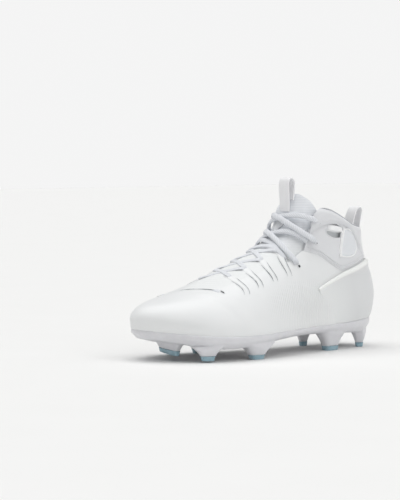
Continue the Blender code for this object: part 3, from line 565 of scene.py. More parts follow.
for stud, (_, _, tip, *_) in STUDS.items():
    top = tip + TIP_TALL + 0.1
    rounded = [(tip, None), (tip, 1.6), (tip, 0.6), (tip + 0.15, 0.2), (tip + 0.5, 0)]
    rows = [*rounded, (tip + 2.2, 0), (top, 0), (top, None)]
    cap = lay("tip_" + stud, 48, len(rows) - 1, stud_rows(stud, rows))
    turn_faces(cap, recalculate=True)
    soften(cap, 40)
    cap.data.materials.append(tip_plastic)
    fit(cap, "stud_tip_" + stud)


# INSOLE. A foam footbed 4 mm thick under a smooth cloth, cut to the inside of the shell and laid loose
# on the plate, with its upper edge rounded.
FOOTBED_THICK, FOOTBED_INSET = 4.0, 8.0


def insole_rings(t):
    bottom = PLATE_THICK + 2 * FIT
    under = read(LAST, "underside", station_of(t)) + bottom
    return [
        sole_ring(t, np.inf, over=bottom),
        sole_ring(t, FOOTBED_INSET + 1.0, under),
        sole_ring(t, FOOTBED_INSET, under + 0.8),
        sole_ring(t, FOOTBED_INSET, under + FOOTBED_THICK - 1.0),
        sole_ring(t, FOOTBED_INSET + 0.6, under + FOOTBED_THICK - 0.2),
        sole_ring(t, FOOTBED_INSET + 2.0, under + FOOTBED_THICK),
        sole_ring(t, np.inf, over=bottom + FOOTBED_THICK),
    ]


# Footbed cloth: brushed jersey, dull and slightly fuzzy; its ribs are drawn at 3 mm to show.
footbed_cloth, tree, shader, place = new_material("brushed_footbed_cloth")
ribs = ribbing(tree, place, "Y", 0.003)
tone = two_tones(tree, "#D3D5D9", "#E2E4E7", ribs.outputs["Fac"])
dress(tree, shader, {"Base Color": tone.outputs[2], "Roughness": 0.95, "Sheen Weight": 0.3})

insole = lay("footbed", 160, 6, through_rings(insole_rings))
turn_faces(insole, recalculate=True)
insole.data.materials.append(footbed_cloth)
fit(insole, "insole")


# HEEL COUNTER. A thin moulded film cup bonded over the heel. Its top edge is a raised lip that runs
# down and forward as a bright line; its front edge leans and feathers out on the quarter.
COUNTER = {"station": (0, 15, 30, 45, 60, 78, 97), "high": (88, 87, 84, 80.5, 77, 71, 63)}
COUNTER_SECTION = {
    "share": (0, 0.2, 0.45, 0.7, 0.86, 0.91, 0.955, 0.985, 1),
    "thick": (0.6, 1.0, 1.2, 1.1, 1.0, 2.1, 3.0, 2.6, 1.2),
}
COUNTER_LOW = 74.0
SEAT = 0.65


def counter_pattern(u, v):
    across = 2 * u - 1
    t = across * around(COUNTER_LOW + (COUNTER["station"][-1] - COUNTER_LOW) * v)
    low = read(LAST, "feather", station_of(t)) + 0.2
    high = read(COUNTER, "high", station_of(t))
    a = at_height(t, low + (high - low) * v)
    thin = 1 - 1.2 * np.abs(across) ** 5 * (1 - v**6)
    return lift(t, a, (SEAT + read(COUNTER_SECTION, "thick", v)) * thin)


# Counter film: a smooth moulded skin, a little glossier than the coated knit; it thins out to the shell's white along
# the front edges, and the lip carries a painted highlight, a band of whiter colour for the light on its raised ridge.
counter_film, tree, shader, place = new_material("moulded_counter_film")
cloud = mottle(tree, place, 0.03)
tone = two_tones(tree, "#D8DADB", "#E1E2E3", cloud.outputs["Fac"])
share = node(tree, "ShaderNodeSeparateXYZ", {}, {"Vector": place.outputs["UV"]})
# Painted highlight: the band along the lip is mixed to a whiter colour, standing in for light on the raised ridge.
lip_highlight_mask = node(tree, "ShaderNodeMapRange", {"From Min": 0.90, "From Max": 0.94}, {"Value": share.outputs["Y"]})
inset = node(tree, "ShaderNodeMath", {"operation": "PINGPONG", 1: 0.5}, {0: share.outputs["X"]})
front = node(tree, "ShaderNodeMapRange", {"From Min": 0.15, "From Max": 0.0}, {"Value": inset.outputs["Value"]})
thinned = node(tree, "ShaderNodeMix", {"data_type": "RGBA", 7: hex_colour("#EAECEC")},
               {0: front.outputs["Result"], 6: tone.outputs[2]})
painted_lip_highlight = node(tree, "ShaderNodeMix", {"data_type": "RGBA", 7: hex_colour("#F6F7F5")},
             {0: lip_highlight_mask.outputs["Result"], 6: thinned.outputs[2]})
gloss = node(tree, "ShaderNodeMapRange", {"To Min": 0.32, "To Max": 0.42}, {"Value": cloud.outputs["Fac"]})
dress(tree, shader, {"Base Color": painted_lip_highlight.outputs[2], "Roughness": gloss.outputs["Result"]})

counter = lay("counter", 120, 40, counter_pattern)
turn_faces(counter)
counter.data.materials.append(counter_film)
apply(counter, "SOLIDIFY", thickness=0.002, offset=-1.0)
apply(counter, "BEVEL", width=0.0005, segments=2, limit_method="ANGLE", angle_limit=1.0)
fit(counter, "heel_counter")


# ANKLE CUFF. A padded collar panel of coated cloth from one side of the throat round the heel to the
# other: an arched roll along the collar over a flatter field, with a window bound in cloth.
CUFF_FRONT = {"share": (0, 0.15, 0.45, 0.7, 0.88, 1), "station": (106, 103, 95, 90, 85, 77)}
CUFF = {
    "station": (0, 15, 30, 45, 60, 66, 78, 90, 106),
    "low": (88.8, 87.8, 84.8, 81.3, 78.4, 80.5, 87.5, 94.5, 99),
    "high": (120.5, 121, 123.5, 129.5, 136, 138.5, 140.5, 140.5, 140.5),
}
CUFF_PAD, CUFF_SINK = 2.7, 0.9
CUFF_SECTION = {
    "share": (0, 0.06, 0.3, 0.55, 0.78, 0.93, 1),
    "padding": (0.25, 0.62, 0.8, 0.86, 0.96, 0.92, 0.5),
}
ARCH = {
    "station": (0, 18, 28, 35, 44, 54, 67, 77, 85, 95, 106),
    "low": (86, 90, 97, 105, 116.5, 123, 125, 124.7, 123, 118, 108),
}


def cuff_lift(t, a):
    """How far the cuff's outside stands off the shell."""
    x, _, height = np.moveaxis(face(t, a), -1, 0)
    low, high = read(CUFF, "low", station_of(t)), read(CUFF, "high", station_of(t))
    share = np.clip((height - low) / (high - low), 0, 1)
    above = height - read(ARCH, "low", HEEL_X - x)
    roll = 2.6 * smooth(above / 3.4 + 0.3) - 1.3 * np.exp(-((above + 1.2) / 1.2) ** 2)
    roll *= (1 - smooth((share - 0.9) / 0.1)) * smooth((height - low) / 16) * (0.25 + 0.75 * smooth((HEEL_X - x) / 34))
    seam = -0.5 * np.exp(-(((height - low) - 3.6) / 0.8) ** 2)
    return SEAT + CUFF_PAD * read(CUFF_SECTION, "padding", share) - CUFF_SINK + roll + seam


def cuff_pattern(u, v):
    across = 2 * u - 1
    t = across * around(read(CUFF_FRONT, "station", v))
    station = station_of(t)
    low, high = read(CUFF, "low", station), read(CUFF, "high", station)
    height = low + (high - low) * v
    thin = 1 - 0.4 * np.abs(across) ** 14
    a = at_height(t, height)
    return lift(t, a, cuff_lift(t, a) * thin)


# Cuff cloth: coated textile over foam, dull with a fine weave; the 0.5 mm weave is drawn at 1.6 mm.
cuff_cloth, tree, shader, place = new_material("padded_cuff_cloth")
weave = node(tree, "ShaderNodeTexVoronoi", {"Scale": 1 / 0.0016}, {"Vector": place.outputs["Object"]})
cloud = mottle(tree, place, 0.02)
tone = two_tones(tree, "#DBDCDF", "#E4E5E7", cloud.outputs["Fac"])
dents = relief(tree, weave.outputs["Distance"], 0.15, 0.0004)
dress(tree, shader, {"Base Color": tone.outputs[2], "Normal": dents.outputs["Normal"], "Roughness": 0.7,
                     "Sheen Weight": 0.2})

cuff = lay("cuff", 170, 48, cuff_pattern)
turn_faces(cuff)
cuff.data.materials.append(cuff_cloth)
cuff.data.materials.append(lining_knit)
apply(cuff, "SOLIDIFY", thickness=0.0026, offset=-1.0, material_offset=1)
apply(cuff, "BEVEL", width=0.0009, segments=3, limit_method="ANGLE", angle_limit=1.0)
cut_window(cuff, 0.0)
soften(cuff, 50)
fit(cuff, "ankle_cuff")


def tube(points, radius, out=None):
    """A pattern for a round cord through points along the grid: closed, or open where out is given."""
    points = np.asarray(points)
    on = np.roll(points, -1, 0) - np.roll(points, 1, 0) if out is None else np.gradient(points, axis=0)
    on /= np.linalg.norm(on, axis=1, keepdims=True)
    side = np.cross(on, points - points.mean(0) if out is None else out)
    side /= np.linalg.norm(side, axis=1, keepdims=True)
    up = np.cross(side, on)
    spans = len(points) if out is None else len(points) - 1

    def pattern(u, v):
        i = np.round(u * spans).astype(int) % len(points)
        turn = 2 * math.pi * v[:, None]
        taper = 1.0 if out is None else np.sqrt(np.clip(np.minimum(u, 1 - u) * spans / 3, 0, 1))[:, None]
        return points[i] + radius * taper * (np.cos(turn) * side[i] + np.sin(turn) * up[i])
    return pattern


def cord(name, points, radius, sides, material, out=None):
    """A cord laid through points and fixed to the shoe."""
    piece = lay(name, len(points) if out is None else len(points) - 1, sides, tube(points, radius, out))
    turn_faces(piece, recalculate=True)
    piece.data.materials.append(material)
    fit(piece)


# Collar piping: a thin grey cord of twisted yarn sewn along the cuff's top edge, which draws its outline.
piping_yarn, tree, shader, place = new_material("twisted_piping_yarn")
twist = node(tree, "ShaderNodeTexWave", {"bands_direction": "DIAGONAL", "Scale": 2 * WAVE_PERIOD / 0.0015},
             {"Vector": place.outputs["Object"]})
tone = two_tones(tree, "#B2B4B8", "#C8CACD", twist.outputs["Fac"])
dress(tree, shader, {"Base Color": tone.outputs[2], "Roughness": 0.9})

t = np.linspace(-1, 1, 160) * around(CUFF_FRONT["station"][-1] - 1)
a = at_height(t, read(CUFF, "high", station_of(t)) - 0.3)
cord("collar_piping", lift(t, a, cuff_lift(t, a) - 0.2), 0.8, 10, piping_yarn, outward(t, a))

# Double seam: two lines of stout thread along the cuff's lower edge, on each side of its seam groove.
for above in (2.2, 5.0):
    t = np.linspace(-1, 1, 200) * around(CUFF_FRONT["station"][0] - 3)
    a = at_height(t, read(CUFF, "low", station_of(t)) + above)
    line = lift(t, a, cuff_lift(t, a) + 0.05)
    cord(f"cuff_seam_{above:.0f}", line, 0.4, 8, cuff_cloth, outward(t, a))


# Window binding: a narrow rolled strip of the cuff's cloth sewn round each window's edge.
SIDES = ((1, "outer"), (-1, "inner"))
for side, name in SIDES:
    turn = np.linspace(0, 2 * math.pi, 72, endpoint=False)
    station, height = window_outline(turn, 0.7)
    t, a = spot(side, station, height)
    cord("window_binding_" + name, lift(t, a, cuff_lift(t, a) - 0.5), 0.8, 10, cuff_cloth)


# Window lining: a white mesh behind each window. Its upper half swells out as a soft lip that catches the
# light from above; the lower half lies back as a slot in the lip's shade.
LIP_LOW, LIP_OUT, LINING_DEEP = 116.4, 4.6, -1.6
LINING_LOW, LINING_TALL, LINING_BACK, LINING_LONG = 108.0, 20.0, 52.0, 31.0


def window_lining_pattern(side):
    def pattern(u, v):
        height = LINING_LOW + LINING_TALL * v
        station = LINING_BACK + LINING_LONG * u
        lean = math.tan(math.radians(WINDOW["lean"])) * (station - WINDOW["station"])
        t, a = spot(side, station, height + lean)
        long = (station - WINDOW["station"]) / WINDOW["half_long"]
        tall = (height - WINDOW["height"]) / WINDOW["top"]
        inside = 1 - smooth(((np.abs(long) ** 4 + np.abs(tall) ** 4) ** 0.25 - 0.66) / 0.32)
        return lift(t, a, LINING_DEEP + (LIP_OUT - LINING_DEEP) * smooth((height - LIP_LOW) / 1.3) * inside)
    return pattern


# Mesh lining: open warp knit, bright and matt on the lip, with painted shade in the slot under it, a grey colour for
# the dark inside of the shoe; its holes are drawn 2 mm apart.
mesh_lining, tree, shader, place = new_material("open_mesh_lining")
holes = node(tree, "ShaderNodeTexVoronoi", {"Scale": 1 / 0.002, "Randomness": 0.2}, {"Vector": place.outputs["Object"]})
tone = two_tones(tree, "#F4F5F6", "#FBFBFB", holes.outputs["Distance"])
share = node(tree, "ShaderNodeSeparateXYZ", {}, {"Vector": place.outputs["UV"]})
slot_top = (LIP_LOW - LINING_LOW) / LINING_TALL
# Painted shade: below the lip the mesh is coloured grey, where the slot lies in shade.
slot_shade_mask = node(tree, "ShaderNodeMapRange", {"From Min": slot_top + 0.03, "From Max": slot_top - 0.02},
              {"Value": share.outputs["Y"]})
slot_shaded_tone = node(tree, "ShaderNodeMix", {"data_type": "RGBA", 7: hex_colour("#CDD0D2")},
            {0: slot_shade_mask.outputs["Result"], 6: tone.outputs[2]})
dress(tree, shader, {"Base Color": slot_shaded_tone.outputs[2], "Roughness": 0.9})

for side, name in SIDES:
    backing = lay("window_lining_" + name, 30, 60, window_lining_pattern(side))
    if side == 1:
        turn_faces(backing)
    backing.data.materials.append(mesh_lining)
    apply(backing, "SOLIDIFY", thickness=0.0008, offset=-1.0)
    fit(backing)


# ANKLE TABS. A rounded pad of moulded film behind each window, let into the cuff and bonded to it, with
# a bead of white film round it that is thickest along the front edge.
TAB_EDGE = [(57.6, 117), (50.5, 119.5), (43.6, 117), (37.6, 111.5), (34.8, 104.5), (36.2, 97.5), (42, 92.8),
            (50, 90.8), (58, 91.2), (63.6, 92.6), (64.4, 96.2), (62, 104), (59.8, 112)]
TAB_MIDDLE = np.array([48.5, 105.5])


def through(points, share, closed=False):
    """A smooth curve through points at shares of its length from 0 to 1."""
    points = np.array(points, float)
    spans = len(points) if closed else len(points) - 1
    where = np.clip(np.asarray(share, float), 0, 1) * spans
    i = np.minimum(where.astype(int), spans - 1)
    s = (where - i)[..., None]
    pick = [(i + k) % len(points) if closed else np.clip(i + k, 0, len(points) - 1) for k in (-1, 0, 1, 2)]
    a, b, c, d = (points[k] for k in pick)
    return 0.5 * (2 * b + (c - a) * s + (2 * a - 5 * b + 4 * c - d) * s**2 + (3 * b - a - 3 * c + d) * s**3)


def tab_pattern(side):
    def pattern(u, v):
        edge = through(TAB_EDGE, u, closed=True)
        station, height = (TAB_MIDDLE + (edge - TAB_MIDDLE) * v[:, None]).T
        t, a = spot(side, station, height)
        front = smooth((station - 50) / 8)
        high = 1.4 - 2.6 * v**12 + 0.6 * front * np.exp(-((v - 0.86) / 0.1) ** 2)
        field = SEAT + CUFF_PAD * 0.85 - CUFF_SINK
        return lift(t, a, field + high)
    return pattern


# Tab film: a moulded skin with fine upright ribs 1.8 mm apart, bluish white and satin.
tab_film, tree, shader, place = new_material("ribbed_tab_film")
ribs = ribbing(tree, place, "X", 0.0018)
tone = two_tones(tree, "#DEE1E5", "#EAECEF", ribs.outputs["Fac"])
dents = relief(tree, ribs.outputs["Fac"], 0.15, 0.0003)
dress(tree, shader, {"Base Color": tone.outputs[2], "Normal": dents.outputs["Normal"], "Roughness": 0.4})

# Tab edging: a bead of white film, thick along the front edge and fine round the rest of the tab.
edging_film, tree, shader, place = new_material("white_edging_film")
cloud = mottle(tree, place, 0.004)
tone = two_tones(tree, "#F3F4F5", "#FBFBFB", cloud.outputs["Fac"])
dress(tree, shader, {"Base Color": tone.outputs[2], "Roughness": 0.5})

TAB_FRONT = [(55.6, 120.4), (57.0, 114), (60.4, 104), (62.6, 96.6), (63.4, 93.4), (65.4, 92.2)]
for side, name in SIDES:
    tab = lay("tab_" + name, 96, 22, tab_pattern(side))
    if side == 1:
        turn_faces(tab)
    tab.data.materials.append(tab_film)
    fit(tab, "ankle_tab_" + name)
    t, a = spot(side, *through(TAB_FRONT, np.linspace(0, 1, 40)).T)
    cord("tab_edge_" + name, lift(t, a, np.full(40, 2.9)), 1.1, 10, edging_film, outward(t, a))
    ring = through(TAB_EDGE, np.linspace(0, 1, 96, endpoint=False), closed=True)
    t, a = spot(side, *(TAB_MIDDLE + (ring - TAB_MIDDLE) * 0.96).T)
    cord("tab_rim_" + name, lift(t, a, np.full(96, 2.3)), 0.7, 8, edging_film)


# TONGUE. A soft knit pad sewn in under the throat: level with the shell along the lower ridge, padded
# and standing free above, with a rolled top whose middle rises to a low crest.
TONGUE_TOP, TONGUE_DROP, TONGUE_FRONT = 87.8, 16.0, 268.0
TONGUE_CREST, TONGUE_DEEP, TONGUE_WING = 5.4, -3.1, 5.0
OVERLAP = 0.08


def tongue_pattern(u, v):
    across, along = 2 * u - 1, v**1.2
    top = TONGUE_TOP - TONGUE_DROP * across**2
    stations = top + (TONGUE_FRONT - top) * along
    t = np.where(across < 0, around(stations), -around(stations))
    edge = boot_edge(t)
    low = boot_edge(np.sign(t) * around(np.maximum(stations, 100.0))) - OVERLAP
    a = 1 - np.abs(across) * (1 - low)
    lower = smooth((stations - 116) / 22)
    clear = smooth((a - edge - OVERLAP / 2 * (1 - lower)) / ((0.45 - 0.33 * lower) * (1 + OVERLAP / 2 - edge)))
    roll = 0.7 * np.exp(-((along / 0.02) ** 2))
    upper = TONGUE_DEEP + 2.2 * clear + roll
    upper += TONGUE_WING * (across > 0) * np.exp(-(((stations - 99) / 8) ** 2) - ((a - 0.88) / 0.07) ** 2)
    flush = -0.9 + 1.0 * smooth((a - edge + OVERLAP) / (0.9 * OVERLAP))
    points = lift(t, a, upper * (1 - lower) + flush * lower)
    points[:, 2] += TONGUE_CREST * np.clip(1 - np.abs(across) / 0.36, 0, 1) * np.exp(-((along / 0.06) ** 2))
    return points


# Tongue knit: a rib knit with fine level ribs 1.6 mm apart, matt and soft; bluish at the padded top and
# white below, where it is thin and stretched.
tongue_knit, tree, shader, place = new_material("soft_tongue_knit")
ribs = ribbing(tree, place, "Z", 0.0016, 0.4, 4.0)
padded = two_tones(tree, "#E6E9EE", "#EFF1F4", ribs.outputs["Fac"])
up = node(tree, "ShaderNodeSeparateXYZ", {}, {"Vector": place.outputs["Object"]})
level = node(tree, "ShaderNodeMapRange", {"From Min": 0.092, "From Max": 0.120}, {"Value": up.outputs["Z"]})
tone = node(tree, "ShaderNodeMix", {"data_type": "RGBA", 6: hex_colour("#EAECEC")},
            {0: level.outputs["Result"], 7: padded.outputs[2]})
loops = relief(tree, ribs.outputs["Fac"], 0.2, 0.0004)
dress(tree, shader, {"Base Color": tone.outputs[2], "Normal": loops.outputs["Normal"], "Roughness": 0.9,
                     "Sheen Weight": 0.3})

tongue = lay("tongue_pad", 64, 120, tongue_pattern)
tongue.data.materials.append(tongue_knit)
apply(tongue, "SOLIDIFY", thickness=0.0032, offset=-1.0)
apply(tongue, "BEVEL", width=0.0012, segments=3, limit_method="ANGLE", angle_limit=1.0)
fit(tongue, "tongue")


# BADGE. A plain leaf-shaped label of soft moulded film, bonded on the tongue's ridge under the upper
# laces; its middle is slightly crowned and its edge thin.
BADGE_STATION, BADGE_HALF_LONG = 107.0, 8.0


def badge_pattern(u, v):
    across, along = 2 * u - 1, 2 * v - 1
    stations = BADGE_STATION + along * BADGE_HALF_LONG * (1 - 0.7 * across**2)
    t = np.where(across < 0, around(stations), -around(stations))
    rim = np.maximum(np.abs(across), np.abs(along))
    return lift(t, 1 - 0.085 * np.abs(across), 0.45 + 0.35 * (1 - rim**4))


# Label film: soft satin film, slightly greyer than what is round it.
label_film, tree, shader, place = new_material("plain_label_film")
cloud = mottle(tree, place, 0.004)
tone = two_tones(tree, "#DDDFE2", "#E8E9EB", cloud.outputs["Fac"])
dress(tree, shader, {"Base Color": tone.outputs[2], "Roughness": 0.45})

badge = lay("badge", 30, 24, badge_pattern)
badge.data.materials.append(label_film)
apply(badge, "SOLIDIFY", thickness=0.0012, offset=-1.0)
fit(badge, "tongue_badge")


# PULL LOOPS. Flat woven webbing 13 to 14 mm wide, folded into a loop and sewn down at both ends: a
# tall one on the tongue, which leans back at its top, and a shorter one over the heel's collar.
TONGUE_LOOP = [(107.4, 136.6), (107.2, 140), (107.2, 143), (107.3, 146), (107.5, 149.4), (107.8, 153), (108.2, 158),
               (108.2, 164), (107.2, 168), (104.4, 169.6), (101.4, 168), (100.2, 163.5), (100.6, 157.5), (101.4, 152),
               (102, 148)]
HEEL_LOOP = [(10.2, 103), (10.6, 108), (11.3, 114), (11.4, 121), (9.6, 130), (8.3, 136), (10, 139.2), (13.2, 139),
             (16.6, 135), (19.8, 127), (21.8, 119.5), (22.6, 112)]


def strap_pattern(outline, wide):
    def pattern(u, v):
        line = through(outline, u)
        return np.stack([HEEL_X - line[:, 0], SHIFT_Y + (v - 0.5) * wide, line[:, 1]], -1)
    return pattern


# Webbing: a close herringbone weave in cool white, matt; its ribs are drawn 1.7 mm wide.
webbing, tree, shader, place = new_material("woven_pull_webbing")
ribs = ribbing(tree, place, "Y", 0.0017, 0.5)
tone = two_tones(tree, "#F2F2F4", "#FAFAFB", ribs.outputs["Fac"])
yarns = relief(tree, ribs.outputs["Fac"], 0.3, 0.0003)
dress(tree, shader, {"Base Color": tone.outputs[2], "Normal": yarns.outputs["Normal"], "Roughness": 0.8,
                     "Sheen Weight": 0.2})

for name, outline, wide in (("tongue", TONGUE_LOOP, 14.0), ("heel", HEEL_LOOP, 13.0)):
    strap = lay(name + "_strap", 60, 8, strap_pattern(outline, wide))
    strap.data.materials.append(webbing)
    apply(strap, "SOLIDIFY", thickness=0.0014, offset=0.0)
    apply(strap, "BEVEL", width=0.0005, segments=2, limit_method="ANGLE", angle_limit=1.0)
    fit(strap, name + "_pull_loop")


# LACE KEEPERS. Four narrow bands a side that hold the lace: each comes down from a loop beside the ridge,
# over the throat's edge and into the shell, with a thin strip of painted shade along both edges for the gap.
KEEPERS = {1: (188, 170, 151, 132), -1: (200, 181, 161, 141)}
KEEPER_WIDE, KEEPER_DROP, KEEPER_REACH = 6.6, 13.0, 0.72


def edge_spot(side, station):
    """The throat's edge at its own station, as places round and up the shell."""
    guess = np.array(station, float)
    for _ in range(5):
        t = side * around(guess)
        guess = guess + station - (HEEL_X - face(t, boot_edge(t))[..., 0])
    t = side * around(guess)
    return t, boot_edge(t)


def keeper_line(side, station, across, v):
    """Places round and up the shell at shares down a keeper, some millimetres off its middle line."""
    edge = float(face(*edge_spot(side, np.array([station])))[0, 2])
    ridge = float(read(RIDGE, "height", station))
    top = edge + KEEPER_REACH * (ridge - edge)
    sway = 1.2 * np.sin(6.5 * v + 0.37 * station) * (0.4 + 0.6 * v)
    height = top - (top - edge + KEEPER_DROP) * v**1.15
    return spot(side, station + across + sway, height)


def keeper_pattern(side, station):
    def pattern(u, v):
        taper = 1 - 0.25 * v
        t, a = keeper_line(side, station, (u - 0.5) * KEEPER_WIDE * taper, v)
        stand = 1.1 * (1 - np.abs(2 * u - 1) ** 4) * (1 - 0.9 * smooth((v - 0.6) / 0.4)) * smooth(v / 0.06) - 0.35
        return lift(t, a, stand)
    return pattern


# Slit: painted shade for the shadowed gap beside a keeper or over a lace bar, a soft grey strip whose shade is mottled
# and fades where it closes.
slit_shade, tree, shader, place = new_material("shadowed_slit")
shade_mottle = mottle(tree, place, 0.007)
closed = node(tree, "ShaderNodeMapRange", {"From Min": 0.42, "From Max": 0.62}, {"Value": shade_mottle.outputs["Fac"]})
tone = two_tones(tree, "#8C9094", "#D2D4D6", closed.outputs["Result"])
dress(tree, shader, {"Base Color": tone.outputs[2], "Roughness": 0.95})


def slit_pattern(t, a, wide):
    """A narrow strip on the shell along places round and up it, pointed at both ends."""
    middle = lift(t, a, np.full(len(t), 0.3))
    out = outward(t, a)
    across = np.cross(np.gradient(middle, axis=0), out)
    across /= np.linalg.norm(across, axis=1, keepdims=True)

    def pattern(u, v):
        i = np.round(u * (len(t) - 1)).astype(int)
        bow = np.abs(2 * v - 1) < 0.5
        taper = np.sin(math.pi * np.clip(u, 0.02, 0.98)) ** 0.5
        return middle[i] + across[i] * ((v - 0.5) * wide * taper)[:, None] + out[i] * (0.05 * bow)[:, None]
    return pattern


for side, name in SIDES:
    for row, station in enumerate(KEEPERS[side], 1):
        keeper = lay(f"keeper_{name}_{row}", 14, 40, keeper_pattern(side, station))
        if side == 1:
            turn_faces(keeper)
        keeper.data.materials.append(coated_knit)
        fit(keeper)
        for edge, label in ((-0.5, "back"), (0.5, "front")):
            v = np.linspace(0.16 if edge < 0 else 0.3, 0.97, 40)
            t, a = keeper_line(side, station, edge * (KEEPER_WIDE * (1 - 0.25 * v) + 0.3), v)
            slit = lay(f"keeper_slit_{name}_{row}_{label}", 39, 2, slit_pattern(t, a, 0.8))
            if side == -1:
                turn_faces(slit)
            slit.data.materials.append(slit_shade)
            fit(slit)


# EYELETS. Punched holes with a pressed rim, each hole drawn as a disc of painted shade: one at each end of the toe
# bar's slit, one low on the quarter, and two on the cuff's front edge, on both sides.
HOLES = {1: {0: (209, 64), 5: (117, 85), 6: (93, 106), 7: (87, 125)},
         -1: {0: (238, 58), 5: (121, 86), 6: (93, 106), 7: (87, 125)}}
HOLE_RADIUS = {0: 1.4, 5: 1.7, 6: 1.2, 7: 0.5}

# Hole: the unlit inside of the shoe behind a punched eyelet.
hole_shade, tree, shader, place = new_material("eyelet_hole_shade")
shade_mottle = mottle(tree, place, 0.002)
tone = two_tones(tree, "#3C3F42", "#5A5E62", shade_mottle.outputs["Fac"])
dress(tree, shader, {"Base Color": tone.outputs[2], "Roughness": 0.95})


def bed(t, a, row):
    """How high over the shell the surface round an eyelet is."""
    return cuff_lift(t, a) if row > 5 else np.zeros(np.shape(t))


def hole_pattern(side, row):
    station, height = HOLES[side][row]

    def pattern(u, v):
        turn = 2 * math.pi * u
        reach = HOLE_RADIUS[row] * v
        t, a = spot(side, station + reach * np.cos(turn), height + reach * np.sin(turn))
        return lift(t, a, bed(t, a, row) + 0.15)
    return pattern


for side, name in SIDES:
    for row, (station, height) in HOLES[side].items():
        hole = lay(f"eyelet_hole_{name}_{row}", 24, 4, hole_pattern(side, row))
        if side == 1:
            turn_faces(hole)
        hole.data.materials.append(hole_shade)
        made_in, slot = (coated_knit, "shell") if row < 6 else (cuff_cloth, "cuff")
        fit(hole)
        turn = np.linspace(0, 2 * math.pi, 32, endpoint=False)
        reach = HOLE_RADIUS[row]
        t, a = spot(side, station + reach * np.cos(turn), height + reach * np.sin(turn))
        cord(f"eyelet_rim_{name}_{row}", lift(t, a, bed(t, a, row) + 0.1), 0.45, 8, made_in)


# LACE. One long woven lace: a sunken bar at the toe end, then crossed up the throat through keepers
# and eyelets, flat where it is drawn tight and rounder above; both ends stop inside the top eyelets.
LACE_WIDE = (4.8, 4.8, 4.8, 4.8, 5.0, 5.4, 5.6, 5.6)
LACE_THICK = (1.2, 1.2, 1.2, 1.3, 1.8, 3.0, 3.3, 3.3)
RUN_STEPS = 26
CROSSINGS = {5: 121.0, 6: 103.5}
# Where the lace slips under the edge of shell and cuff before it comes out of a hole, on both sides.
FLAP = {5: (129, 91), 6: (100.5, 106.5)}
# Heights over the shell by row: at a run's end on top, at its end under a flap, and in the middle of a run.
ON_TOP = (0.3, 1.2, 1.2, 1.2, 1.2, 0.3, 3.6, 3.6)
UNDER_FLAP = {5: -2.6, 6: -0.6}
MID_RUN = (-0.4, -0.4, -0.4, -0.4, 0.0, 0.6, 2.0)
BAR_SUNK, RUN_HIDDEN = -3.0, -3.4


def eyelet(row, side, under=False):
    """An eyelet's or keeper's place round and up the shell, or the flap's edge that leads to it."""
    if under:
        t, a = spot(side, *FLAP[row])
    elif row in HOLES[side]:
        t, a = spot(side, *HOLES[side][row])
    else:
        t, a = keeper_line(side, KEEPERS[side][row - 1], 0.0, np.array(0.1))
    return float(t), float(a)


def over(station, b):
    """Place round and up for a signed share across the ridge, outer side below 0."""
    return np.where(np.asarray(b) < 0, around(station), -around(station)), 1 - np.abs(b)


def taut(start, crossing, end, steps):
    """A taut line from an outer to an inner place, in the plane through both and a point of the ridge."""
    shares = np.linspace(start[1] - 1, 1 - end[1], steps)
    ends = [face(*start), face(around(crossing), 1.0), face(*end)]
    plane = np.cross(ends[1] - ends[0], ends[2] - ends[0])
    first, last = station_of(start[0]), station_of(end[0])
    stations = []
    for b in shares:
        near = np.interp(b, [shares[0], 0, shares[-1]], [first, crossing, last])
        tries = np.clip(np.linspace(near - 30, near + 45, 301), 0, LENGTH)
        off = (face(*over(tries, np.full(301, b))) - ends[0]) @ plane
        turns = np.nonzero(off[:-1] * off[1:] <= 0)[0]
        pick = turns[np.argmin(np.abs(tries[turns] - near))] if len(turns) else 120
        span = off[pick + 1] - off[pick]
        stations.append(tries[pick] - off[pick] / span * (tries[1] - tries[0]) if span else tries[pick])
    return over(np.array(stations), shares)


def ridge_station(start, end):
    """Station whose ridge point lies on the straight line between two places, seen from above."""
    stations = np.linspace(station_of(start[0]) - 10, station_of(end[0]) + 30, 200)
    ridge = face(around(stations), np.ones(200))[:, :2]
    first, last = face(*start)[:2], face(*end)[:2]
    line = last - first
    return float(stations[np.argmin(np.abs((ridge - first) @ np.array([-line[1], line[0]])))])


def lace_run(outer_row, inner_row, rise):
    """Middle line, up direction, width and thickness of one run from an outer to an inner eyelet."""
    rows, low = (outer_row, inner_row), min(outer_row, inner_row)
    under = [row in FLAP and row > low for row in rows]
    start, end = eyelet(outer_row, 1, under[0]), eyelet(inner_row, -1, under[1])
    crossing = CROSSINGS.get(low) if outer_row != inner_row else None
    t, a = taut(start, crossing or ridge_station(start, end), end, RUN_STEPS)
    s = np.linspace(0, 1, RUN_STEPS)
    wide, thick = (np.interp(s, [0, 1], [table[outer_row], table[inner_row]]) for table in (LACE_WIDE, LACE_THICK))
    ends = [UNDER_FLAP[row] if hidden else ON_TOP[row] for row, hidden in zip(rows, under)]
    middle = BAR_SUNK if outer_row == inner_row else MID_RUN[low]
    height = np.interp(s, [0, 0.3, 0.7, 1], [ends[0], middle, middle, ends[1]])
    height += thick * (0.5 + rise * np.exp(-(((s - 0.5) / 0.16) ** 2)))
    dive = np.minimum(s, 1 - s) * RUN_STEPS
    height -= (thick + 1.6) * np.clip(1 - dive / 1.8, 0, 1) ** 2
    return lift(t, a, height), outward(t, a), wide, thick


def hidden_run(side):
    """From a toe bar's end to the first keeper on its side, inside the shell."""
    station, height = HOLES[side][0]
    own = KEEPERS[side][0]
    share = np.linspace(0, 1, RUN_STEPS)
    end = face(*eyelet(1, side))[2]
    t, a = spot(side, station + (own - station) * share, height + (end - height) * share)
    flat = np.ones(RUN_STEPS)
    return lift(t, a, RUN_HIDDEN * flat), outward(t, a), LACE_WIDE[0] * flat, LACE_THICK[0] * flat


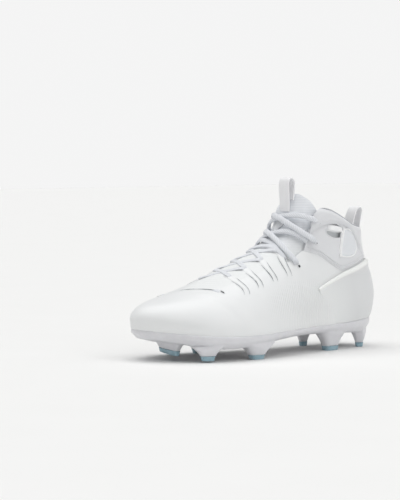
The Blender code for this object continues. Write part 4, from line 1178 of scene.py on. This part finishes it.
def strand(side):
    """The runs of the half of the lace that starts at one end of the toe bar, in order upward."""
    runs = [hidden_run(side)]
    for row in range(1, len(LACE_WIDE) - 1):
        if (row % 2 == 1) == (side == 1):
            runs.append(lace_run(row, row + 1, 0.9 if row > 4 else 0.5))
        else:
            runs.append([line[::-1] for line in lace_run(row + 1, row, 0.0)])
    return runs


outer_strand = [[line[::-1] for line in run] for run in reversed(strand(1))]
runs = [*outer_strand, lace_run(0, 0, 0.0), *strand(-1)]
lace_line, lace_up, lace_wide, lace_thick = (np.concatenate(lines) for lines in zip(*runs))
lace_on = np.gradient(lace_line, axis=0)
lace_on /= np.linalg.norm(lace_on, axis=1, keepdims=True)
lace_side = np.cross(lace_on, lace_up)
lace_side /= np.linalg.norm(lace_side, axis=1, keepdims=True)
lace_up = np.cross(lace_side, lace_on)
lace_length = float(np.linalg.norm(np.diff(lace_line, axis=0), axis=1).sum())


def lace_pattern(u, v):
    i = np.round(u * (len(lace_line) - 1)).astype(int)
    c, s = np.cos(2 * math.pi * v), np.sin(2 * math.pi * v)
    end = np.sqrt(np.clip(np.minimum(u, 1 - u) * len(lace_line) / 2, 0, 1))
    wide = np.sign(c) * np.abs(c) ** 0.8 * lace_wide[i] / 2 * end
    tall = np.sign(s) * np.abs(s) ** 0.8 * lace_thick[i] / 2 * end
    return lace_line[i] + lace_side[i] * wide[:, None] + lace_up[i] * tall[:, None]


# Lace weave: a tubular weave in bluish white, matt, with slanting yarns; they are drawn 1.6 mm wide.
lace_weave, tree, shader, place = new_material("tubular_lace_weave")
millimetres = node(tree, "ShaderNodeMapping", {"Scale": (lace_length, 12.0, 1.0)}, {"Vector": place.outputs["UV"]})
yarns = node(tree, "ShaderNodeTexWave", {"bands_direction": "DIAGONAL", "Scale": 2 * WAVE_PERIOD / 1.6},
             {"Vector": millimetres.outputs["Vector"]})
tone = two_tones(tree, "#D8DBE0", "#E6E8EC", yarns.outputs["Fac"])
twist = relief(tree, yarns.outputs["Fac"], 0.2, 0.0003)
dress(tree, shader, {"Base Color": tone.outputs[2], "Normal": twist.outputs["Normal"], "Roughness": 0.85,
                     "Sheen Weight": 0.2})

lace = lay("lace", len(lace_line) - 1, 16, lace_pattern)
turn_faces(lace, recalculate=True)
lace.data.materials.append(lace_weave)
fit(lace, "lacing")

# The toe bar itself lies in a slit, of which only the dark line shows, drawn as a strip of painted shade.
start, end = eyelet(0, 1), eyelet(0, -1)
t, a = (line[:24] for line in taut(start, ridge_station(start, end), end, 40))
bar_slit = lay("toe_bar_slit", 23, 2, slit_pattern(t, a, 1.7))
bar_slit.data.materials.append(slit_shade)
fit(bar_slit)


# STAGE. A plain pale floor and backdrop, a broad soft light overhead, a large fill beside the camera,
# and the camera at the photograph's angle to the shoe.
bpy.ops.object.select_all(action="DESELECT")
bpy.ops.mesh.primitive_plane_add(size=12.0)
floor = bpy.context.object
floor.name = "studio_floor"
floor_paper, tree, shader, place = new_material("studio_paper")
fibre = mottle(tree, place, 0.08)
tone = two_tones(tree, "#EEEEED", "#F0F0EF", fibre.outputs["Fac"])
dress(tree, shader, {"Base Color": tone.outputs[2], "Roughness": 0.9})
floor.data.materials.append(floor_paper)

scene = bpy.context.scene
scene.view_settings.view_transform = "Standard"
world = bpy.data.worlds.new("studio_air")
world.use_nodes = True
backdrop = world.node_tree.nodes["Background"]
backdrop.inputs["Color"].default_value = hex_colour("#FDFDFD")
where = node(world.node_tree, "ShaderNodeTexCoord", {})
up_part = node(world.node_tree, "ShaderNodeSeparateXYZ", {}, {"Vector": where.outputs["Generated"]})
band = {"From Min": 0.08, "From Max": 0.22, "To Min": 0.925, "To Max": 0.25}
dim = node(world.node_tree, "ShaderNodeMapRange", band, {"Value": up_part.outputs["Z"]})
world.node_tree.links.new(dim.outputs["Result"], backdrop.inputs["Strength"])
scene.world = world

AZIMUTH, ELEVATION, DISTANCE = math.radians(-41.0), math.radians(4.0), 1.9
LENS, AIM_LEFT, AIM_UP = 140.9, 0.0568, 0.0301
right = np.array([math.cos(AZIMUTH), math.sin(AZIMUTH), 0.0])
flat_back = np.array([math.sin(AZIMUTH), -math.cos(AZIMUTH), 0.0])
back = flat_back * math.cos(ELEVATION) + np.array([0.0, 0.0, math.sin(ELEVATION)])
rise = np.cross(back, right)
middle = np.array([0.0, 0.0, 0.070])


def aim(thing, start, target):
    """Puts a light or camera at a place, looking at another."""
    thing.location = start
    look = thing.location - type(thing.location)(target)
    thing.rotation_euler = look.to_track_quat("Z", "Y").to_euler()


# Lights, far off and very soft: name, direction from the shoe, apparent width in degrees, strength.
for name, toward, width, strength in (
    ("top_softbox", (-0.12, 0.2, 1.0), 60.0, 1.8),
    ("camera_fill", tuple(back * 0.35 + right * 0.65 + np.array([0, 0, 0.85])), 60.0, 1.05),
):
    bpy.ops.object.light_add(type="SUN")
    light = bpy.context.object
    light.name = name
    light.data.angle = math.radians(width)
    light.data.energy = strength
    aim(light, tuple(middle + np.array(toward) * 2), tuple(middle))

bpy.ops.object.camera_add()
camera = bpy.context.object
camera.name = "photo_camera"
camera.data.sensor_width = 36.0
camera.data.lens = LENS
aim(camera, tuple(middle + back * DISTANCE), tuple(middle - right * AIM_LEFT + rise * AIM_UP))
scene.camera = camera
